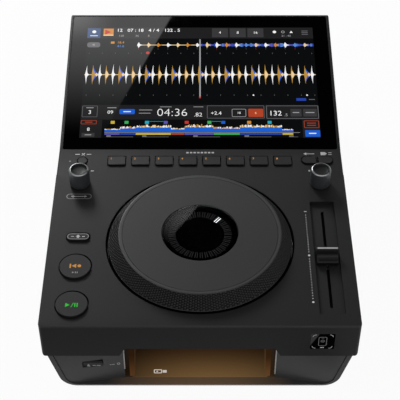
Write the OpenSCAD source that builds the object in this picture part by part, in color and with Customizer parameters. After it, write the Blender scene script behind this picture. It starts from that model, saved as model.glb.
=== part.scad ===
// Tabletop media player: level deck with jog wheel, tilted touch screen, stepped-in base.
// Millimetres. +X right, +Y to the back, +Z up. Origin under the middle, on the table.
// Lengths named *_at are measured back from the front edge, *_in from the nearer side.

/* [Upper body] */
// Width across the upper body
body_w = 250; // [244:1:262]
// Depth of the level deck, from the front edge to the foot of the screen
deck_run = 201; // [200:0.5:210]
// Depth that the tilted screen section covers
screen_run = 166; // [163:0.5:174]
// Rise of the screen section from its foot to its back edge
screen_rise = 26; // [20:1:32]
// Height of the deck above the table
deck_h = 84.5; // [83:0.5:92]
// Height of the upper body's front face
lip_h = 36.5; // [34:0.5:38]
// Wall of the top cover
cover_wall = 2.5; // [2:0.1:2.8]
// Radius along the deck's front edge
front_edge_r = 1.25; // [1:0.25:4]
// Radius along the other outer edges of the upper body
side_edge_r = 1.5; // [0.5:0.25:2.5]

/* [Base] */
// How far the base stands back under the front and rear faces
base_inset = 4; // [3:0.25:6]
// How far in from the side the base starts under the upper body
base_side_in = 2.2; // [1.5:0.1:3.5]
// Lean of the base's sides from the vertical
base_slope = 14.4; // [8:0.2:18]
// Radius of the base's two lower edges
base_corner_r = 15; // [10:0.5:18]
// Wall of the base
base_wall = 2.5; // [2:0.1:3]
// Floor thickness of the base
base_floor = 1.8; // [1.5:0.1:2.4]
// Width of the rim round the base's front
rim_w = 4; // [3:0.25:5]
// Height of the feet under the base
foot_h = 3.2; // [2.5:0.1:5]
// Radius of the feet
foot_r = 9; // [7:0.5:10]
// Depth of the recess that holds each foot
foot_recess = 0.8; // [0.4:0.1:1.2]

/* [USB bay] */
// Half width of the bay's mouth
bay_half = 61.5; // [58:0.5:64]
// Depth of the bay behind the front edge of the upper body
bay_depth = 73; // [64:0.5:76]
// Height of the bay's ceiling above the table
bay_top = 58; // [57:0.25:59]
// Wall of the bay liner
liner_wall = 1.5; // [1:0.1:2]
// How far the fascias step back from the rim at the bay
fascia_back = 7; // [5:0.25:9]
// Wall of the fascias
fascia_wall = 2.5; // [2:0.1:3]
// Width of each light strip
strip_w = 4; // [3:0.1:5]
// Dark gap between a light strip and its fascia
strip_gap = 4; // [3:0.1:5]
// How far the front lip is cut up over the bay
notch_h = 8.8; // [6:0.2:9.5]

/* [Jog wheel] */
// Radius of the well that the jog wheel turns in
well_r = 77.3; // [77:0.1:78.5]
// Jog centre, back from the front edge
jog_at = 90; // [88:0.5:91]
// Running gap between the jog ring and its well
jog_gap = 1.1; // [0.6:0.1:1.5]
// Radius of the flat top plate
plate_r = 66.6; // [65:0.1:68]
// Height of the top plate above the deck
jog_h = 11; // [10:0.25:13]
// Thickness of the top plate
plate_t = 1.5; // [1:0.1:2]
// Radius of the lens over the centre display
lens_r = 30.8; // [30:0.1:33]
// Thickness of the lens
lens_t = 1.2; // [1:0.1:1.6]
// Gap between the lens and the turning plate
lens_gap = 0.5; // [0.4:0.1:1]
// Outer radius of the fixed post in the jog's middle
post_r = 12; // [10:0.5:13]

/* [Tempo slider] */
// Travel of the slider
fader_travel = 100; // [90:1:104]
// Middle of the travel, back from the front edge
fader_at = 74.1; // [73:0.1:78]
// Slider line, outwards from the middle of the strip beside the jog wheel
fader_out = 2.15; // [1:0.05:3]
// Width of the slider's well
fader_well_w = 20.6; // [19.5:0.1:21]
// Depth of the well's floor under the deck
fader_well_d = 3.2; // [2.8:0.1:4]
// Length of the slider cap
cap_l = 17.6; // [15:0.2:19]
// Width of the slider cap
cap_w = 17.4; // [15:0.2:17.8]
// Height of the slider cap's fin above the deck
cap_h = 8.8; // [7:0.2:11]

/* [Knobs] */
// Diameter of both knobs
knob_d = 17.3; // [15:0.1:18.5]
// Height of the knobs above the deck
knob_h = 17; // [14:0.5:20]
// Knob centres, in from the sides
knob_in = 21.5; // [21:0.1:23]
// Knob centres, in front of the foot of the screen
knob_ahead = 42.8; // [41:0.2:44]
// Diameter of the encoder shafts
shaft_d = 6; // [5:0.1:6.4]
// Push travel of the encoder shafts
push_travel = 0.5; // [0.3:0.1:0.6]

/* [Buttons] */
// Deck left between two hot cue buttons
cue_between = 5.95; // [5:0.05:8]
// Depth of a hot cue button
cue_pad_d = 10.2; // [8:0.1:11]
// Middle of the row's first and last hot cue buttons, in from the sides
cue_in = 52; // [50:0.1:54]
// Button row centre, in front of the foot of the screen
row_ahead = 15.4; // [14.5:0.1:16.5]
// Radius of the cue and play buttons
round_r = 12.5; // [11:0.1:13]
// Column of round buttons, inwards from the middle of the strip beside the jog wheel
column_in = 0.65; // [0:0.05:1.5]
// Cue button centre, back from the front edge
cue_at = 60.8; // [58:0.1:62]
// Play button centre, back from the front edge
play_at = 21.2; // [20:0.1:23]
// Shift button centre, back from the front edge
shift_at = 93.4; // [92:0.1:96]
// Gap round every button
key_gap = 0.9; // [0.6:0.1:1.1]
// Travel of the buttons
key_travel = 0.7; // [0.4:0.1:0.9]
// How far the small buttons stand above the deck
key_proud = 1.5; // [1:0.1:2.5]
// How far the round buttons and shift stand above the deck
round_proud = 2; // [1:0.1:3]

/* [Screen] */
// Thickness of the touch glass
glass_t = 1.8; // [1.4:0.1:2.2]
// Frame left round the glass
frame_w = 2.8; // [2.2:0.1:3.5]
// Gap between the LCD module and the window's sides
lcd_side_gap = 2.7; // [1.5:0.1:6]
// Gap between the LCD module and the window's upper and lower edges
lcd_end_gap = 2.9; // [1.5:0.1:5]
// Thickness of the LCD module
lcd_t = 4.5; // [3.5:0.1:6]

/* [Hidden] */
$fn = 96;
over = 1;              // how far a cutter runs past the face it cuts
deck_bite = 0.01;      // how far the deck's edge round stays off the faces it would touch, so that it crosses them
slope_bite = 0.03;     // the same along the screen, well apart from the deck's so that their ends don't nearly meet
slack = 0.1;           // gap left where two bodies meet at the end of a travel

// Places worked out from the driving sizes
body_d = deck_run + screen_run;
front = -body_d / 2;
side = body_w / 2;
lip_z = deck_h - lip_h;
deck_under = deck_h - cover_wall;
tilt = atan(screen_rise / screen_run);
slope_l = norm([screen_run, screen_rise]);
row_at = deck_run - row_ahead;
knob_at = deck_run - knob_ahead;
strip_x = (well_r + side) / 2;     // middle of the strip of deck beside the jog wheel
column_x = strip_x - column_in;
knob_x = side - knob_in;
fader_x = strip_x + fader_out;
jog_r = well_r - jog_gap;          // radius of the jog ring's skirt
cue_pitch = (body_w - 2 * cue_in) / 7;
cue_pad_w = cue_pitch - cue_between;

// An arc of points about [cx, cy], from angle a0 to a1
function arc(cx, cy, r, a0, a1, n = 10) =
    [for (i = [0:n]) let (a = a0 + (a1 - a0) * i / n) [cx + r * cos(a), cy + r * sin(a)]];

// A plate w by d with rounded corners, its underside at the local zero
module plate(w, d, h, r) {
    linear_extrude(h) rounded(w, d, r);
}
module rounded(w, d, r) {
    end_r = min(r, w / 2, d / 2);
    if (w > 2 * end_r) square([w - 2 * end_r, d], center = true);
    if (d > 2 * end_r) square([w, d - 2 * end_r], center = true);
    ends = d > 2 * end_r ? [-1, 1] : [0];
    for (x = [-1, 1], y = ends) translate([x * (w / 2 - end_r), y * (d / 2 - end_r)]) circle(end_r);
}
// The same shape on the right and, mirrored, on the left
module both_sides() {
    children();
    mirror([1, 0, 0]) children();
}
// A box from one corner to the opposite one
module block(low, high) {
    translate(low) cube(high - low);
}
// Moves to a place on the deck: x, distance back from the front edge, height over the deck
module on_deck(x, at, z = 0) {
    translate([x, front + at, deck_h + z]) children();
}
// Moves to the foot of the screen, with Y running up the slope and Z out of the glass
module on_slope() {
    translate([0, front + deck_run, deck_h]) rotate([tilt, 0, 0]) children();
}
// Extrudes an outline drawn in X and Z from one depth to another
module along_y(from, to) {
    translate([0, front + to, 0]) rotate([90, 0, 0]) linear_extrude(to - from) children();
}
// Extrudes an outline drawn in Y (from the front edge) and Z, across the width w
module along_x(w) {
    translate([-w / 2, front, 0]) rotate([90, 0, 90]) linear_extrude(w) children();
}

// ---- Top cover ---------------------------------------------------------

panel_w = 156;         // the rear panel with the sockets
post_hole_r = 1.25;    // pilot of an M3 self-tapping screw
boss_r = 3.5;
joint_z = lip_z + 2;   // where the cover's bosses meet the base's posts
front_post = [bay_half + 10.5, 30];
mid_post = [well_r + 8.7, jog_at + 55];
rear_post = [panel_w / 2 + 6, body_d - 11];
case_posts = [front_post, mid_post, rear_post];
frame_boss_r = well_r + 8.7;   // pitch radius of the jog frame's bosses
frame_z = deck_h - 13.5;
board_z = deck_h - 11; // top face of the control board
board_t = 1.6;
board_posts = [[31 - side, jog_at + 30], [9 - side, (cue_at + play_at) / 2], [9 - side, knob_at - 18],
    [-3 * cue_pitch, row_at - 10], [0, row_at - 10], [3 * cue_pitch, row_at - 10], [side - 9, knob_at - 11]];
tongue_h = 3;          // height of the base's tongue inside the cover

module side_profile(inset) {
    low = lip_z - (inset > 0 ? over : 0);
    er = max(front_edge_r - inset, 0.3);
    rr = max(side_edge_r - inset, 0.3);
    top = deck_h - inset;
    foot = deck_run + inset * tan(tilt / 2);
    back = body_d - inset;
    back_z = top + (back - foot) * tan(tilt);
    polygon(concat([[inset, low]], arc(inset + er, top - er, er, 180, 90),
        [[foot, top]],
        arc(back - rr, back_z - rr * (1 + tan(tilt)) + rr * tan(tilt / 2), rr, 90 + tilt, 0),
        [[back, low]]));
}
// Outline of the front view, with rounded lower corners
module front_profile(r) {
    top = deck_h + screen_rise + over;
    polygon(concat(arc(-side + r, lip_z + r, r, 180, 270, 6),
        arc(side - r, lip_z + r, r, 270, 360, 6), [[side, top], [-side, top]]));
}
// Cuts a radius r along the top side edges, for a straight run of length l
module edge_round(r, l, bite) {
    both_sides() translate([side - r, -over, -r]) difference() {
        cube([r + over, l + 2 * over, r + over]);
        translate([bite, -over, bite]) rotate([-90, 0, 0]) cylinder(r = r, h = l + 4 * over);
    }
}
// Hole through the deck for a key face of w by d
module key_hole(x, at, w, d, r) {
    on_deck(x, at, -cover_wall - over)
        plate(w + 2 * key_gap, d + 2 * key_gap, cover_wall + 2 * over, r + key_gap);
}
// The deck's own pattern of holes
module deck_holes() {
    on_deck(0, jog_at, -cover_wall - over) cylinder(r = well_r, h = cover_wall + 2 * over);
    for (i = [0:7]) key_hole(cue_x(i), row_at, cue_pad_w, cue_pad_d, 1);
    key_hole(-column_x, shift_at, shift_w, shift_d, shift_d / 2);
    for (at = [cue_at, play_at])
        on_deck(-column_x, at, -cover_wall - over) cylinder(r = round_r + key_gap, h = cover_wall + 2 * over);
    on_deck(-knob_x, row_at, -cover_wall - over) cylinder(r = delete_r + key_gap, h = cover_wall + 2 * over);
    for (s = [-1, 1]) on_deck(pair_x + s * pair_step, row_at + pair_back, -cover_wall - over)
        linear_extrude(cover_wall + 2 * over) pair_outline(s, key_gap);
    for (s = [-1, 1]) on_deck(s * knob_x, knob_at, -cover_wall - over) cylinder(r = bushing_r + 0.3, h = cover_wall + 2 * over);
    on_deck(fader_x, fader_at, -cover_wall - fader_well_d - over)
        plate(fader_well_w, fader_well_l, cover_wall + fader_well_d + 2 * over, 1.2);
}
// All that lies ahead of the line where the deck turns up into the screen, so that both edge rounds meet in a mitre
module before_crease() {
    translate([0, front + deck_run, deck_h]) rotate([tilt / 2, 0, 0])
        translate([-body_w, -body_d, -cover_wall]) cube([2 * body_w, body_d, 2 * cover_wall]);
}
module top_cover() color([0.17, 0.17, 0.175]) difference() {
    union() {
        difference() {
            intersection() {
                along_x(body_w) side_profile(0);
                along_y(-over, body_d + over) front_profile(2.2);
                translate([0, 0, lip_z - over]) plate(body_w, body_d, lip_h + screen_rise + 2 * over, 3);
            }
            intersection() {
                translate([0, front, deck_h]) edge_round(side_edge_r, deck_run + over, deck_bite);
                before_crease();
            }
            difference() {
                on_slope() edge_round(side_edge_r, slope_l, slope_bite);
                before_crease();
            }
            along_x(body_w - 2 * cover_wall) side_profile(cover_wall);
        }
        cover_posts();
        well_walls();
    }
    deck_holes();
    cover_pilots();
    screen_cuts();
    lip_cuts();
}
module cover_posts() {
    for (s = [-1, 1], p = [front_post, mid_post])
        translate([s * p[0], front + p[1], joint_z]) cylinder(r = boss_r, h = deck_under - joint_z + over / 2);
    for (s = [-1, 1]) {
        translate([s * rear_post[0], front + rear_post[1], joint_z]) cylinder(r = boss_r, h = 24);
        translate([s * rear_post[0] - 1.2, front + rear_post[1], joint_z + 4])
            cube([2.4, body_d - rear_post[1] - cover_wall / 2, 20]);
    }
    for (a = [45:90:315]) on_deck(frame_boss_r * cos(a), jog_at + frame_boss_r * sin(a), frame_z + 1.5 - deck_h)
        cylinder(r = 3.2, h = deck_under - frame_z - 1.5 + over / 2);
    for (p = board_posts) on_deck(p[0], p[1], board_z - deck_h) cylinder(r = 2.4, h = deck_under - board_z + over / 2);
}
// Tube round the jog's well, and the rim round the slider's well
module well_walls() {
    on_deck(0, jog_at, -9) difference() {
        cylinder(r = well_r + 1.8, h = 9 - cover_wall / 2);
        translate([0, 0, -over]) cylinder(r = well_r, h = 9 + over);
    }
    on_deck(fader_x, fader_at, -fader_well_d)
        plate(fader_well_w + 3, fader_well_l + 3, fader_well_d - cover_wall / 2, 2.4);
}
module cover_pilots() {
    for (s = [-1, 1], p = case_posts)
        translate([s * p[0], front + p[1], joint_z - over]) cylinder(r = post_hole_r, h = 13 + over);
    for (a = [45:90:315]) on_deck(frame_boss_r * cos(a), jog_at + frame_boss_r * sin(a), frame_z - deck_h)
        cylinder(r = post_hole_r, h = 9);
    for (p = board_posts) on_deck(p[0], p[1], board_z - deck_h - over) cylinder(r = 1, h = 7 + over);
}
// Seat for the glass, the window behind it and nothing else
module screen_cuts() {
    on_slope() {
        translate([0, glass_mid, -glass_t]) plate(glass_w, glass_l, glass_t + over, 2);
        translate([0, glass_mid, -cover_wall - 3 * over]) plate(window_w, window_l, cover_wall + 4 * over, 1);
    }
}
notch_top = bay_half - 2.2;    // half width of the lip's notch at its top
notch_low = bay_half + 2.1;    // and at the lip's lower edge
// The raised notch over the bay and the seat of the reader window
module lip_cuts() {
    along_y(-over, base_inset + cover_wall + over) polygon([[-notch_low, lip_z - over], [-notch_low, lip_z],
        [-notch_top, lip_z + notch_h], [notch_top, lip_z + notch_h], [notch_low, lip_z], [notch_low, lip_z - over]]);
    translate([nfc_x, front + nfc_t, nfc_z]) rotate([90, 0, 0]) plate(nfc_w, nfc_h, nfc_t + over, 1);
}

// ---- Screen ------------------------------------------------------------

glass_w = body_w - 2 * frame_w;
glass_l = slope_l - frame_w - 0.4;
glass_mid = 0.4 + glass_l / 2;
seat_w = 5;            // ledge that the glass is bonded to
window_w = glass_w - 2 * seat_w;
window_l = glass_l - 2 * seat_w;
lcd_w = window_w - 2 * lcd_side_gap;
lcd_l = window_l - 2 * lcd_end_gap;
lcd_mid = glass_mid - 0.8;
fit = 0.15;            // assembly gap round bonded or dropped-in pieces

module screen_glass() color([0.02, 0.02, 0.022]) on_slope()
    translate([0, glass_mid, -glass_t]) plate(glass_w - 2 * fit, glass_l - 2 * fit, glass_t - 0.05, 2 - fit);
module lcd_panel() color([0.3, 0.31, 0.33]) on_slope()
    translate([0, lcd_mid, -glass_t - lcd_t]) plate(lcd_w, lcd_l, lcd_t, 1);
module screen_bracket() color([0.7, 0.71, 0.73]) on_slope() difference() {
    union() {
        translate([0, lcd_mid, -glass_t - lcd_t - 1]) plate(lcd_w + 9, lcd_l + 4, 1, 2);
        for (s = [-1, 1]) translate([s * (lcd_w / 2 + 1.5), lcd_mid, -glass_t - lcd_t - 1])
            translate([-1, -lcd_l / 2, 0]) cube([2, lcd_l, lcd_t - 0.6]);
    }
    for (x = [-1, 1], y = [-1, 1])
        translate([x * lcd_w / 4, lcd_mid + y * lcd_l / 4, -glass_t - lcd_t - 1 - over]) cylinder(r = 24, h = 1 + over);
}

// ---- Base --------------------------------------------------------------

base_z = foot_h;
base_half = side - base_side_in;
base_back = body_d - base_inset;
// Half width of the base's outline, drawn in by inset, at height z
function base_edge(z, inset) = base_half - inset / cos(base_slope) - (lip_z - z) * tan(base_slope);
// Outline of the base in the front view, drawn in by inset; low and high are its ends in Z
module base_outline(inset, low, high) {
    r = base_corner_r - inset;
    turn = 90 - base_slope;
    cx = base_edge(low, inset) - r * tan(turn / 2);
    right = arc(cx, low + r, r, -90, turn - 90, 12);
    left = [for (i = [len(right) - 1:-1:0]) [-right[i][0], right[i][1]]];
    polygon(concat(right, [[base_edge(high, inset), high], [-base_edge(high, inset), high]], left));
}
module base_shell() color([0.2, 0.2, 0.205]) difference() {
    union() {
        difference() {
            along_y(base_inset, base_back) base_outline(0, base_z, lip_z);
            along_y(base_inset + 3, base_back - base_wall)
                base_outline(base_wall, base_z + base_floor, lip_z + over);
            along_y(base_inset - over, base_inset + 3 + over) base_mouth(0);
        }
        base_tongue();
        base_posts();
    }
    for (s = [-1, 1], p = case_posts) {
        translate([s * p[0], front + p[1], base_z - over]) cylinder(r = 1.7, h = joint_z);
        translate([s * p[0], front + p[1], base_z - over]) cylinder(r = 3.2, h = joint_z - base_z - 5 + over);
    }
    for (s = [-1, 1], at = foot_places)
        translate([s * foot_x, front + at, base_z - over]) cylinder(r = foot_r + fit, h = foot_recess + over);
    translate([0, front + base_back - base_wall - over, panel_z]) rotate([-90, 0, 0])
        plate(panel_w - 6, panel_h - 6, base_wall + 2 * over, 2);
    for (i = [-5:5], at = [130, 300]) translate([i * 9, front + at, base_z - over]) plate(3, 34, base_floor + 2 * over, 1.4);
}
// The opening inside the front rim
module base_mouth(gap) {
    base_outline(rim_w + gap, base_z + base_floor + gap, lip_z + over);
}
// Upright edge that locates the base inside the cover
module base_tongue() {
    edge = side - cover_wall - fit;
    both_sides() along_y(base_inset + 8, base_back - 8)
        polygon([[base_half - 3.4, lip_z - 3], [base_half - 1.8, lip_z - 3], [edge, lip_z], [edge, lip_z + tongue_h],
            [edge - 1.5, lip_z + tongue_h], [edge - 1.5, lip_z]]);
}
module base_posts() {
    for (s = [-1, 1], p = case_posts)
        translate([s * p[0], front + p[1], base_z + base_floor / 2]) cylinder(r = 4.6, h = joint_z - base_z - base_floor / 2);
    for (p = main_posts) translate([p[0], front + p[1], base_z + base_floor / 2])
        cylinder(r = 3, h = main_z - base_z - base_floor / 2);
}
foot_x = side - 37;
foot_places = [26, body_d - 29];
module feet() color([0.08, 0.08, 0.08]) for (s = [-1, 1], at = foot_places)
    translate([s * foot_x, front + at, 0]) cylinder(r = foot_r, h = foot_h + foot_recess);

// ---- Fascias and bay ---------------------------------------------------

fascia_knee = side - 19;       // where the fascia turns back towards the bay
fascia_face = base_inset + 0.8;
fascia_top = lip_z + notch_h + 1.5;
bay_floor = base_z + base_floor;
liner_top_z = bay_floor + 1;
eject_w = 15.7;
eject_h = 7;
eject_x = 38.4 - side;
eject_z = deck_h - 56.5;
eject_gap = 0.5;
eject_travel = 1;
// Angle of the fascia's slanted face, and its depth at a given x
fascia_turn = atan((fascia_back - 0.8) / (fascia_knee - bay_half));
function fascia_at(x) = fascia_face + (fascia_knee - abs(x)) * tan(fascia_turn);

module fascia(s) {
    knee = fascia_knee;
    edge = base_half + over;
    back = base_inset + fascia_back;
    intersection() {
        along_y(base_inset, back + fascia_wall + 2 * over) difference() {
            base_outline(rim_w + fit, bay_floor, lip_z);
            translate([0, deck_h / 2]) square([2 * bay_half, 2 * deck_h], center = true);
        }
        translate([0, front, 0]) linear_extrude(deck_h) polygon([[s * edge, fascia_face], [s * knee, fascia_face],
            [s * bay_half, back], [s * bay_half, back + fascia_wall], [s * knee, fascia_face + fascia_wall],
            [s * edge, fascia_face + fascia_wall]]);
    }
    // The part behind the lip, up to the bay's ceiling
    translate([0, front, lip_z - 0.01]) linear_extrude(fascia_top - lip_z) polygon([[s * (knee - 2), base_inset + 1],
        [s * bay_half, back], [s * bay_half, back + fascia_wall], [s * (knee - 2), base_inset + 1 + fascia_wall]]);
}
module left_fascia() color([0.2, 0.2, 0.205]) difference() {
    fascia(-1);
    translate([eject_x, front + base_inset - over, eject_z]) rotate([-90, 0, 0])
        plate(eject_w + 2 * eject_gap, eject_h + 2 * eject_gap, 14, 1);
}
module right_fascia() color([0.2, 0.2, 0.205]) fascia(1);
// Push key of the eject switch, square to the fascia
module eject_button() color([0.13, 0.13, 0.135]) translate([eject_x, front + eject_at, eject_z]) {
    rotate([-90, 0, 0]) plate(eject_w, eject_h, eject_l, 0.8);
    translate([0, eject_l, 0]) rotate([-90, 0, 0]) plate(eject_w + 3, eject_h + 3, 1.2, 0.8);
}
eject_at = fascia_at(eject_x) + 0.2;   // the key's face, just inside its hole
eject_l = fascia_wall + 2.2;           // depth of the key before its flange

// Key switch behind the eject key, on a small board that stands on the base's floor
module eject_switch() color([0.05, 0.25, 0.12]) translate([eject_x, front + eject_at + eject_l + 1.2 + eject_travel, 0]) {
    translate([-2, slack, eject_z - 2]) cube([4, 1, 4]);
    translate([-3, slack + 1, eject_z - 3]) cube([6, 3.5, 6]);
    translate([-8, slack + 4.5, bay_floor]) cube([16, 1.6, eject_z + 5 - bay_floor]);
}

// The bay: floor, walls, back and ceiling, open to the front
jamb = bay_half - strip_gap - strip_w;
bay_front = base_inset + fascia_back;
bay_back = bay_depth;
pocket_d = 6.5;        // depth of the pocket that each light strip stands in
usb_z = 26;
module bay_liner() color([0.16, 0.13, 0.1]) difference() {
    union() {
        block([-jamb - liner_wall, front + bay_front, bay_floor], [jamb + liner_wall, front + bay_back, bay_top + liner_wall]);
        both_sides() jamb_return();
        block([fit - bay_half, front + cover_wall + 2 * fit, bay_top], [bay_half - fit, front + bay_front + pocket_d + liner_wall, bay_top + liner_wall]);
    }
    block([-jamb, front + bay_front - over, liner_top_z], [jamb, front + bay_back - liner_wall, bay_top]);
    block([-side, front + bay_front - over, liner_top_z], [side, front + bay_front + pocket_d, bay_top]);
    for (x = usb_places) translate([x, front + bay_back - liner_wall - over, usb_z]) rotate([-90, 0, 0])
        plate(usb_w + 2 * fit, usb_h + 2 * fit, liner_wall + 2 * over, 0.6);
}
// Return at the bay's mouth: floor strip, pocket for the light strip and its back wall
module jamb_return() {
    block([jamb, front + bay_front, bay_floor], [bay_half - fit, front + bay_front + pocket_d, liner_top_z]);
    block([jamb, front + bay_front + pocket_d, bay_floor], [bay_half + 1, front + bay_front + pocket_d + liner_wall, bay_top]);
}
module bay_light_guides() color([0.8, 0.5, 0.2]) both_sides()
    block([jamb + fit, front + bay_front + 0.4, liner_top_z], [jamb + strip_w, front + bay_front + pocket_d, bay_top - 1]);

usb_w = 14.2;
usb_h = 7;
usb_places = [-31, 0, 31];
// Three sockets on one board behind the bay's back wall
module usb_sockets() color([0.72, 0.73, 0.75]) {
    for (x = usb_places) translate([x, front + bay_back - liner_wall, usb_z]) {
        difference() {
            rotate([-90, 0, 0]) plate(usb_w, usb_h, 14, 0.5);
            translate([0, -over, 0]) rotate([-90, 0, 0]) plate(usb_w - 1, usb_h - 1, 12 + over, 0.3);
        }
        translate([-5.5, 1.5, 0.5]) cube([11, 11, 1.8]);
    }
    block([-45, front + bay_back, usb_z - usb_h / 2 - board_t], [45, front + bay_back + 24, usb_z - usb_h / 2]);
}

// ---- Reader window on the front face -------------------------------------

nfc_x = side - 29.3;
nfc_w = 19.2;
nfc_h = 18.6;
nfc_t = 0.8;
nfc_z = deck_h - 18.4;
module nfc_window() color([0.02, 0.02, 0.02]) translate([nfc_x, front + nfc_t, nfc_z]) rotate([90, 0, 0])
    plate(nfc_w - 2 * fit, nfc_h - 2 * fit, nfc_t, 1 - fit);

// ---- Jog wheel: heights here are measured from the deck -------------------

ring_wall = 2.4;
web_low = -3.5;                    // the hub's web, under the deck
web_top = -1.5;
seat_z = jog_h - plate_t;
hub_seat_r = post_r + 6.5;         // where the bearing's outer race sits
bearing_low = -9.5;
bearing_w = 6;
race_t = 1.6;

module turned(points) {
    on_deck(0, jog_at) rotate_extrude($fn = 180) polygon(points);
}
module jog_top_plate() color([0.24, 0.24, 0.245]) turned([[lens_r + lens_gap, seat_z], [plate_r - 0.2, seat_z],
    [plate_r - 0.2, jog_h - 0.6], [plate_r - 0.8, jog_h], [plate_r - 2.7, jog_h], [plate_r - 2.9, jog_h - 0.4],
    [plate_r - 3.1, jog_h], [lens_r + lens_gap + 0.4, jog_h], [lens_r + lens_gap, jog_h - 0.4]]);
module jog_ring() color([0.12, 0.12, 0.125]) turned([[jog_r - ring_wall, web_low - 2.5], [jog_r, web_low - 2.5],
    [jog_r, 0.2], [plate_r + 0.6, jog_h - 0.3], [plate_r, jog_h - 0.3], [plate_r, seat_z],
    [plate_r - 2, seat_z], [plate_r - 2, seat_z - 1.6], [jog_r - ring_wall, web_top + 0.8]]);
module jog_hub() color([0.1, 0.1, 0.1]) turned([[hub_seat_r, bearing_low], [hub_seat_r + 4, bearing_low],
    [hub_seat_r + 4, web_low], [jog_r - ring_wall, web_low], [jog_r - ring_wall, web_top],
    [plate_r - 4, web_top], [plate_r - 4, seat_z], [plate_r - 6, seat_z], [plate_r - 6, web_top],
    [lens_r + 4, web_top], [lens_r + 4, seat_z], [lens_r + 2, seat_z], [lens_r + 2, web_top],
    [hub_seat_r - 0.8, web_top], [hub_seat_r - 0.8, bearing_low + bearing_w], [hub_seat_r, bearing_low + bearing_w]]);
ball_pitch_r = (post_r + hub_seat_r) / 2;
ball_r = 1.3;
groove = ball_r + 0.1;
// A race ring with a ball groove on one side
module race(inner, outer) {
    on_deck(0, jog_at, bearing_low) difference() {
        rotate_extrude() translate([inner, 0]) square([outer - inner, bearing_w]);
        translate([0, 0, bearing_w / 2]) rotate_extrude() translate([ball_pitch_r, 0]) circle(groove, $fn = 48);
    }
}
module jog_bearing_outer() color([0.75, 0.76, 0.78]) race(hub_seat_r - race_t - 0.6, hub_seat_r);
module jog_bearing_inner() color([0.75, 0.76, 0.78]) race(post_r, post_r + race_t + 0.6);
module jog_bearing_balls() color([0.85, 0.85, 0.87]) on_deck(0, jog_at, bearing_low + bearing_w / 2) {
    for (a = [0:36:324]) rotate(a) translate([ball_pitch_r, 0, 0]) sphere(ball_r, $fn = 32);
    difference() {
        translate([0, 0, -0.6]) cylinder(r = ball_pitch_r + 0.6, h = 1.2);
        translate([0, 0, -over]) cylinder(r = ball_pitch_r - 0.6, h = 2 * over);
    }
}
// Fixed dish under the wheel, hung from four bosses of the cover
frame_t = 1.5;
frame_hole_r = 14;
frame_hole_at = (post_r + well_r) / 2 - 6.65;
module jog_base_frame() color([0.6, 0.61, 0.63]) on_deck(0, jog_at, frame_z - deck_h) difference() {
    union() {
        cylinder(r = well_r + 1.5, h = frame_t);
        for (a = [45:90:315]) rotate(a) translate([0, -6, 0]) cube([frame_boss_r, 12, frame_t]);
        for (a = [45:90:315]) rotate(a) translate([frame_boss_r, 0, 0]) cylinder(r = 6, h = frame_t);
    }
    translate([0, 0, -over]) cylinder(r = post_r - 3, h = frame_t + 2 * over);
    for (a = [45:90:315]) rotate(a) translate([frame_boss_r, 0, -over]) cylinder(r = 1.7, h = frame_t + 2 * over);
    for (a = [0:90:270]) rotate(a) translate([frame_hole_at, 0, -over]) cylinder(r = frame_hole_r, h = frame_t + 2 * over);
}
cup_low = 0.2;
module jog_display_post() color([0.1, 0.1, 0.1]) turned([[post_r - 3, frame_z + frame_t - deck_h],
    [post_r + 4, frame_z + frame_t - deck_h], [post_r + 4, frame_z + frame_t - deck_h + 1.2],
    [post_r + 1, frame_z + frame_t - deck_h + 1.2], [post_r + 1, bearing_low], [post_r, bearing_low],
    [post_r, cup_low], [lens_r - 0.3, cup_low], [lens_r - 0.3, jog_h - lens_t],
    [lens_r - 1.7, jog_h - lens_t], [lens_r - 1.7, cup_low + 1.2], [post_r - 3, cup_low + 1.2]]);
display_t = 5.8;
module jog_display_panel() color([0.02, 0.02, 0.03]) on_deck(0, jog_at, cup_low + 1.2) cylinder(r = lens_r - 1.9, h = display_t);
module jog_lens() color([0.05, 0.05, 0.05]) on_deck(0, jog_at, jog_h - lens_t) cylinder(r = lens_r, h = lens_t);
disc_r = well_r - 19.3;
disc_collar = 10;      // how far in from its rim the disc's collar stands
disc_z = web_low - 3;
module jog_encoder_disc() color([0.05, 0.05, 0.05]) on_deck(0, jog_at, disc_z) difference() {
    union() {
        cylinder(r = disc_r, h = 0.5);
        cylinder(r = disc_r - disc_collar, h = web_low - disc_z);
    }
    translate([0, 0, -over]) cylinder(r = disc_r - disc_collar - 2, h = 3 * over + web_low - disc_z);
    for (a = [0:6:354]) rotate(a) translate([disc_r - 5, -1, -over]) cube([3.5, 2, 3 * over]);
}
module jog_encoder_sensor() color([0.1, 0.1, 0.1]) on_deck(0, jog_at, frame_z + frame_t - deck_h) difference() {
    translate([-4, -disc_r - 4, 0]) cube([8, 9, disc_z - (frame_z + frame_t - deck_h) + 2.2]);
    translate([-4 - over, -disc_r - 1, disc_z - (frame_z + frame_t - deck_h) - 0.8]) cube([8 + 2 * over, 9, 2]);
}

// ---- Tempo slider ---------------------------------------------------------

lever_w = 1.2;         // the lever's tab: thickness, and length along the travel
lever_l = 4;
slot_w = lever_w + 1.2;
slot_l = fader_travel + lever_l + 2;
cap_end = 2.9;         // room past the cap at each end of its travel
fader_well_l = fader_travel + cap_l + 2 * cap_end;
plate_z = -fader_well_d;
floor_t = 1.2;
body_top = plate_z - floor_t;
body_h = 8;
module fader_plate() color([0.15, 0.15, 0.155]) on_deck(fader_x, fader_at, plate_z - floor_t) difference() {
    plate(fader_well_w + 3, fader_well_l + 3, floor_t, 2.4);
    translate([0, 0, -over]) plate(slot_w, slot_l, floor_t + 2 * over, slot_w / 2 - 0.05);
}
module fader_body() color([0.55, 0.56, 0.58]) on_deck(fader_x, fader_at, body_top - body_h) difference() {
    plate(14, fader_travel + 26, body_h, 1);
    translate([0, 0, 1]) plate(11, fader_travel + 16, body_h - 2, 1);
    translate([0, 0, 1]) plate(slot_w + 1, slot_l + 1, body_h + over, 1);
}
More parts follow.
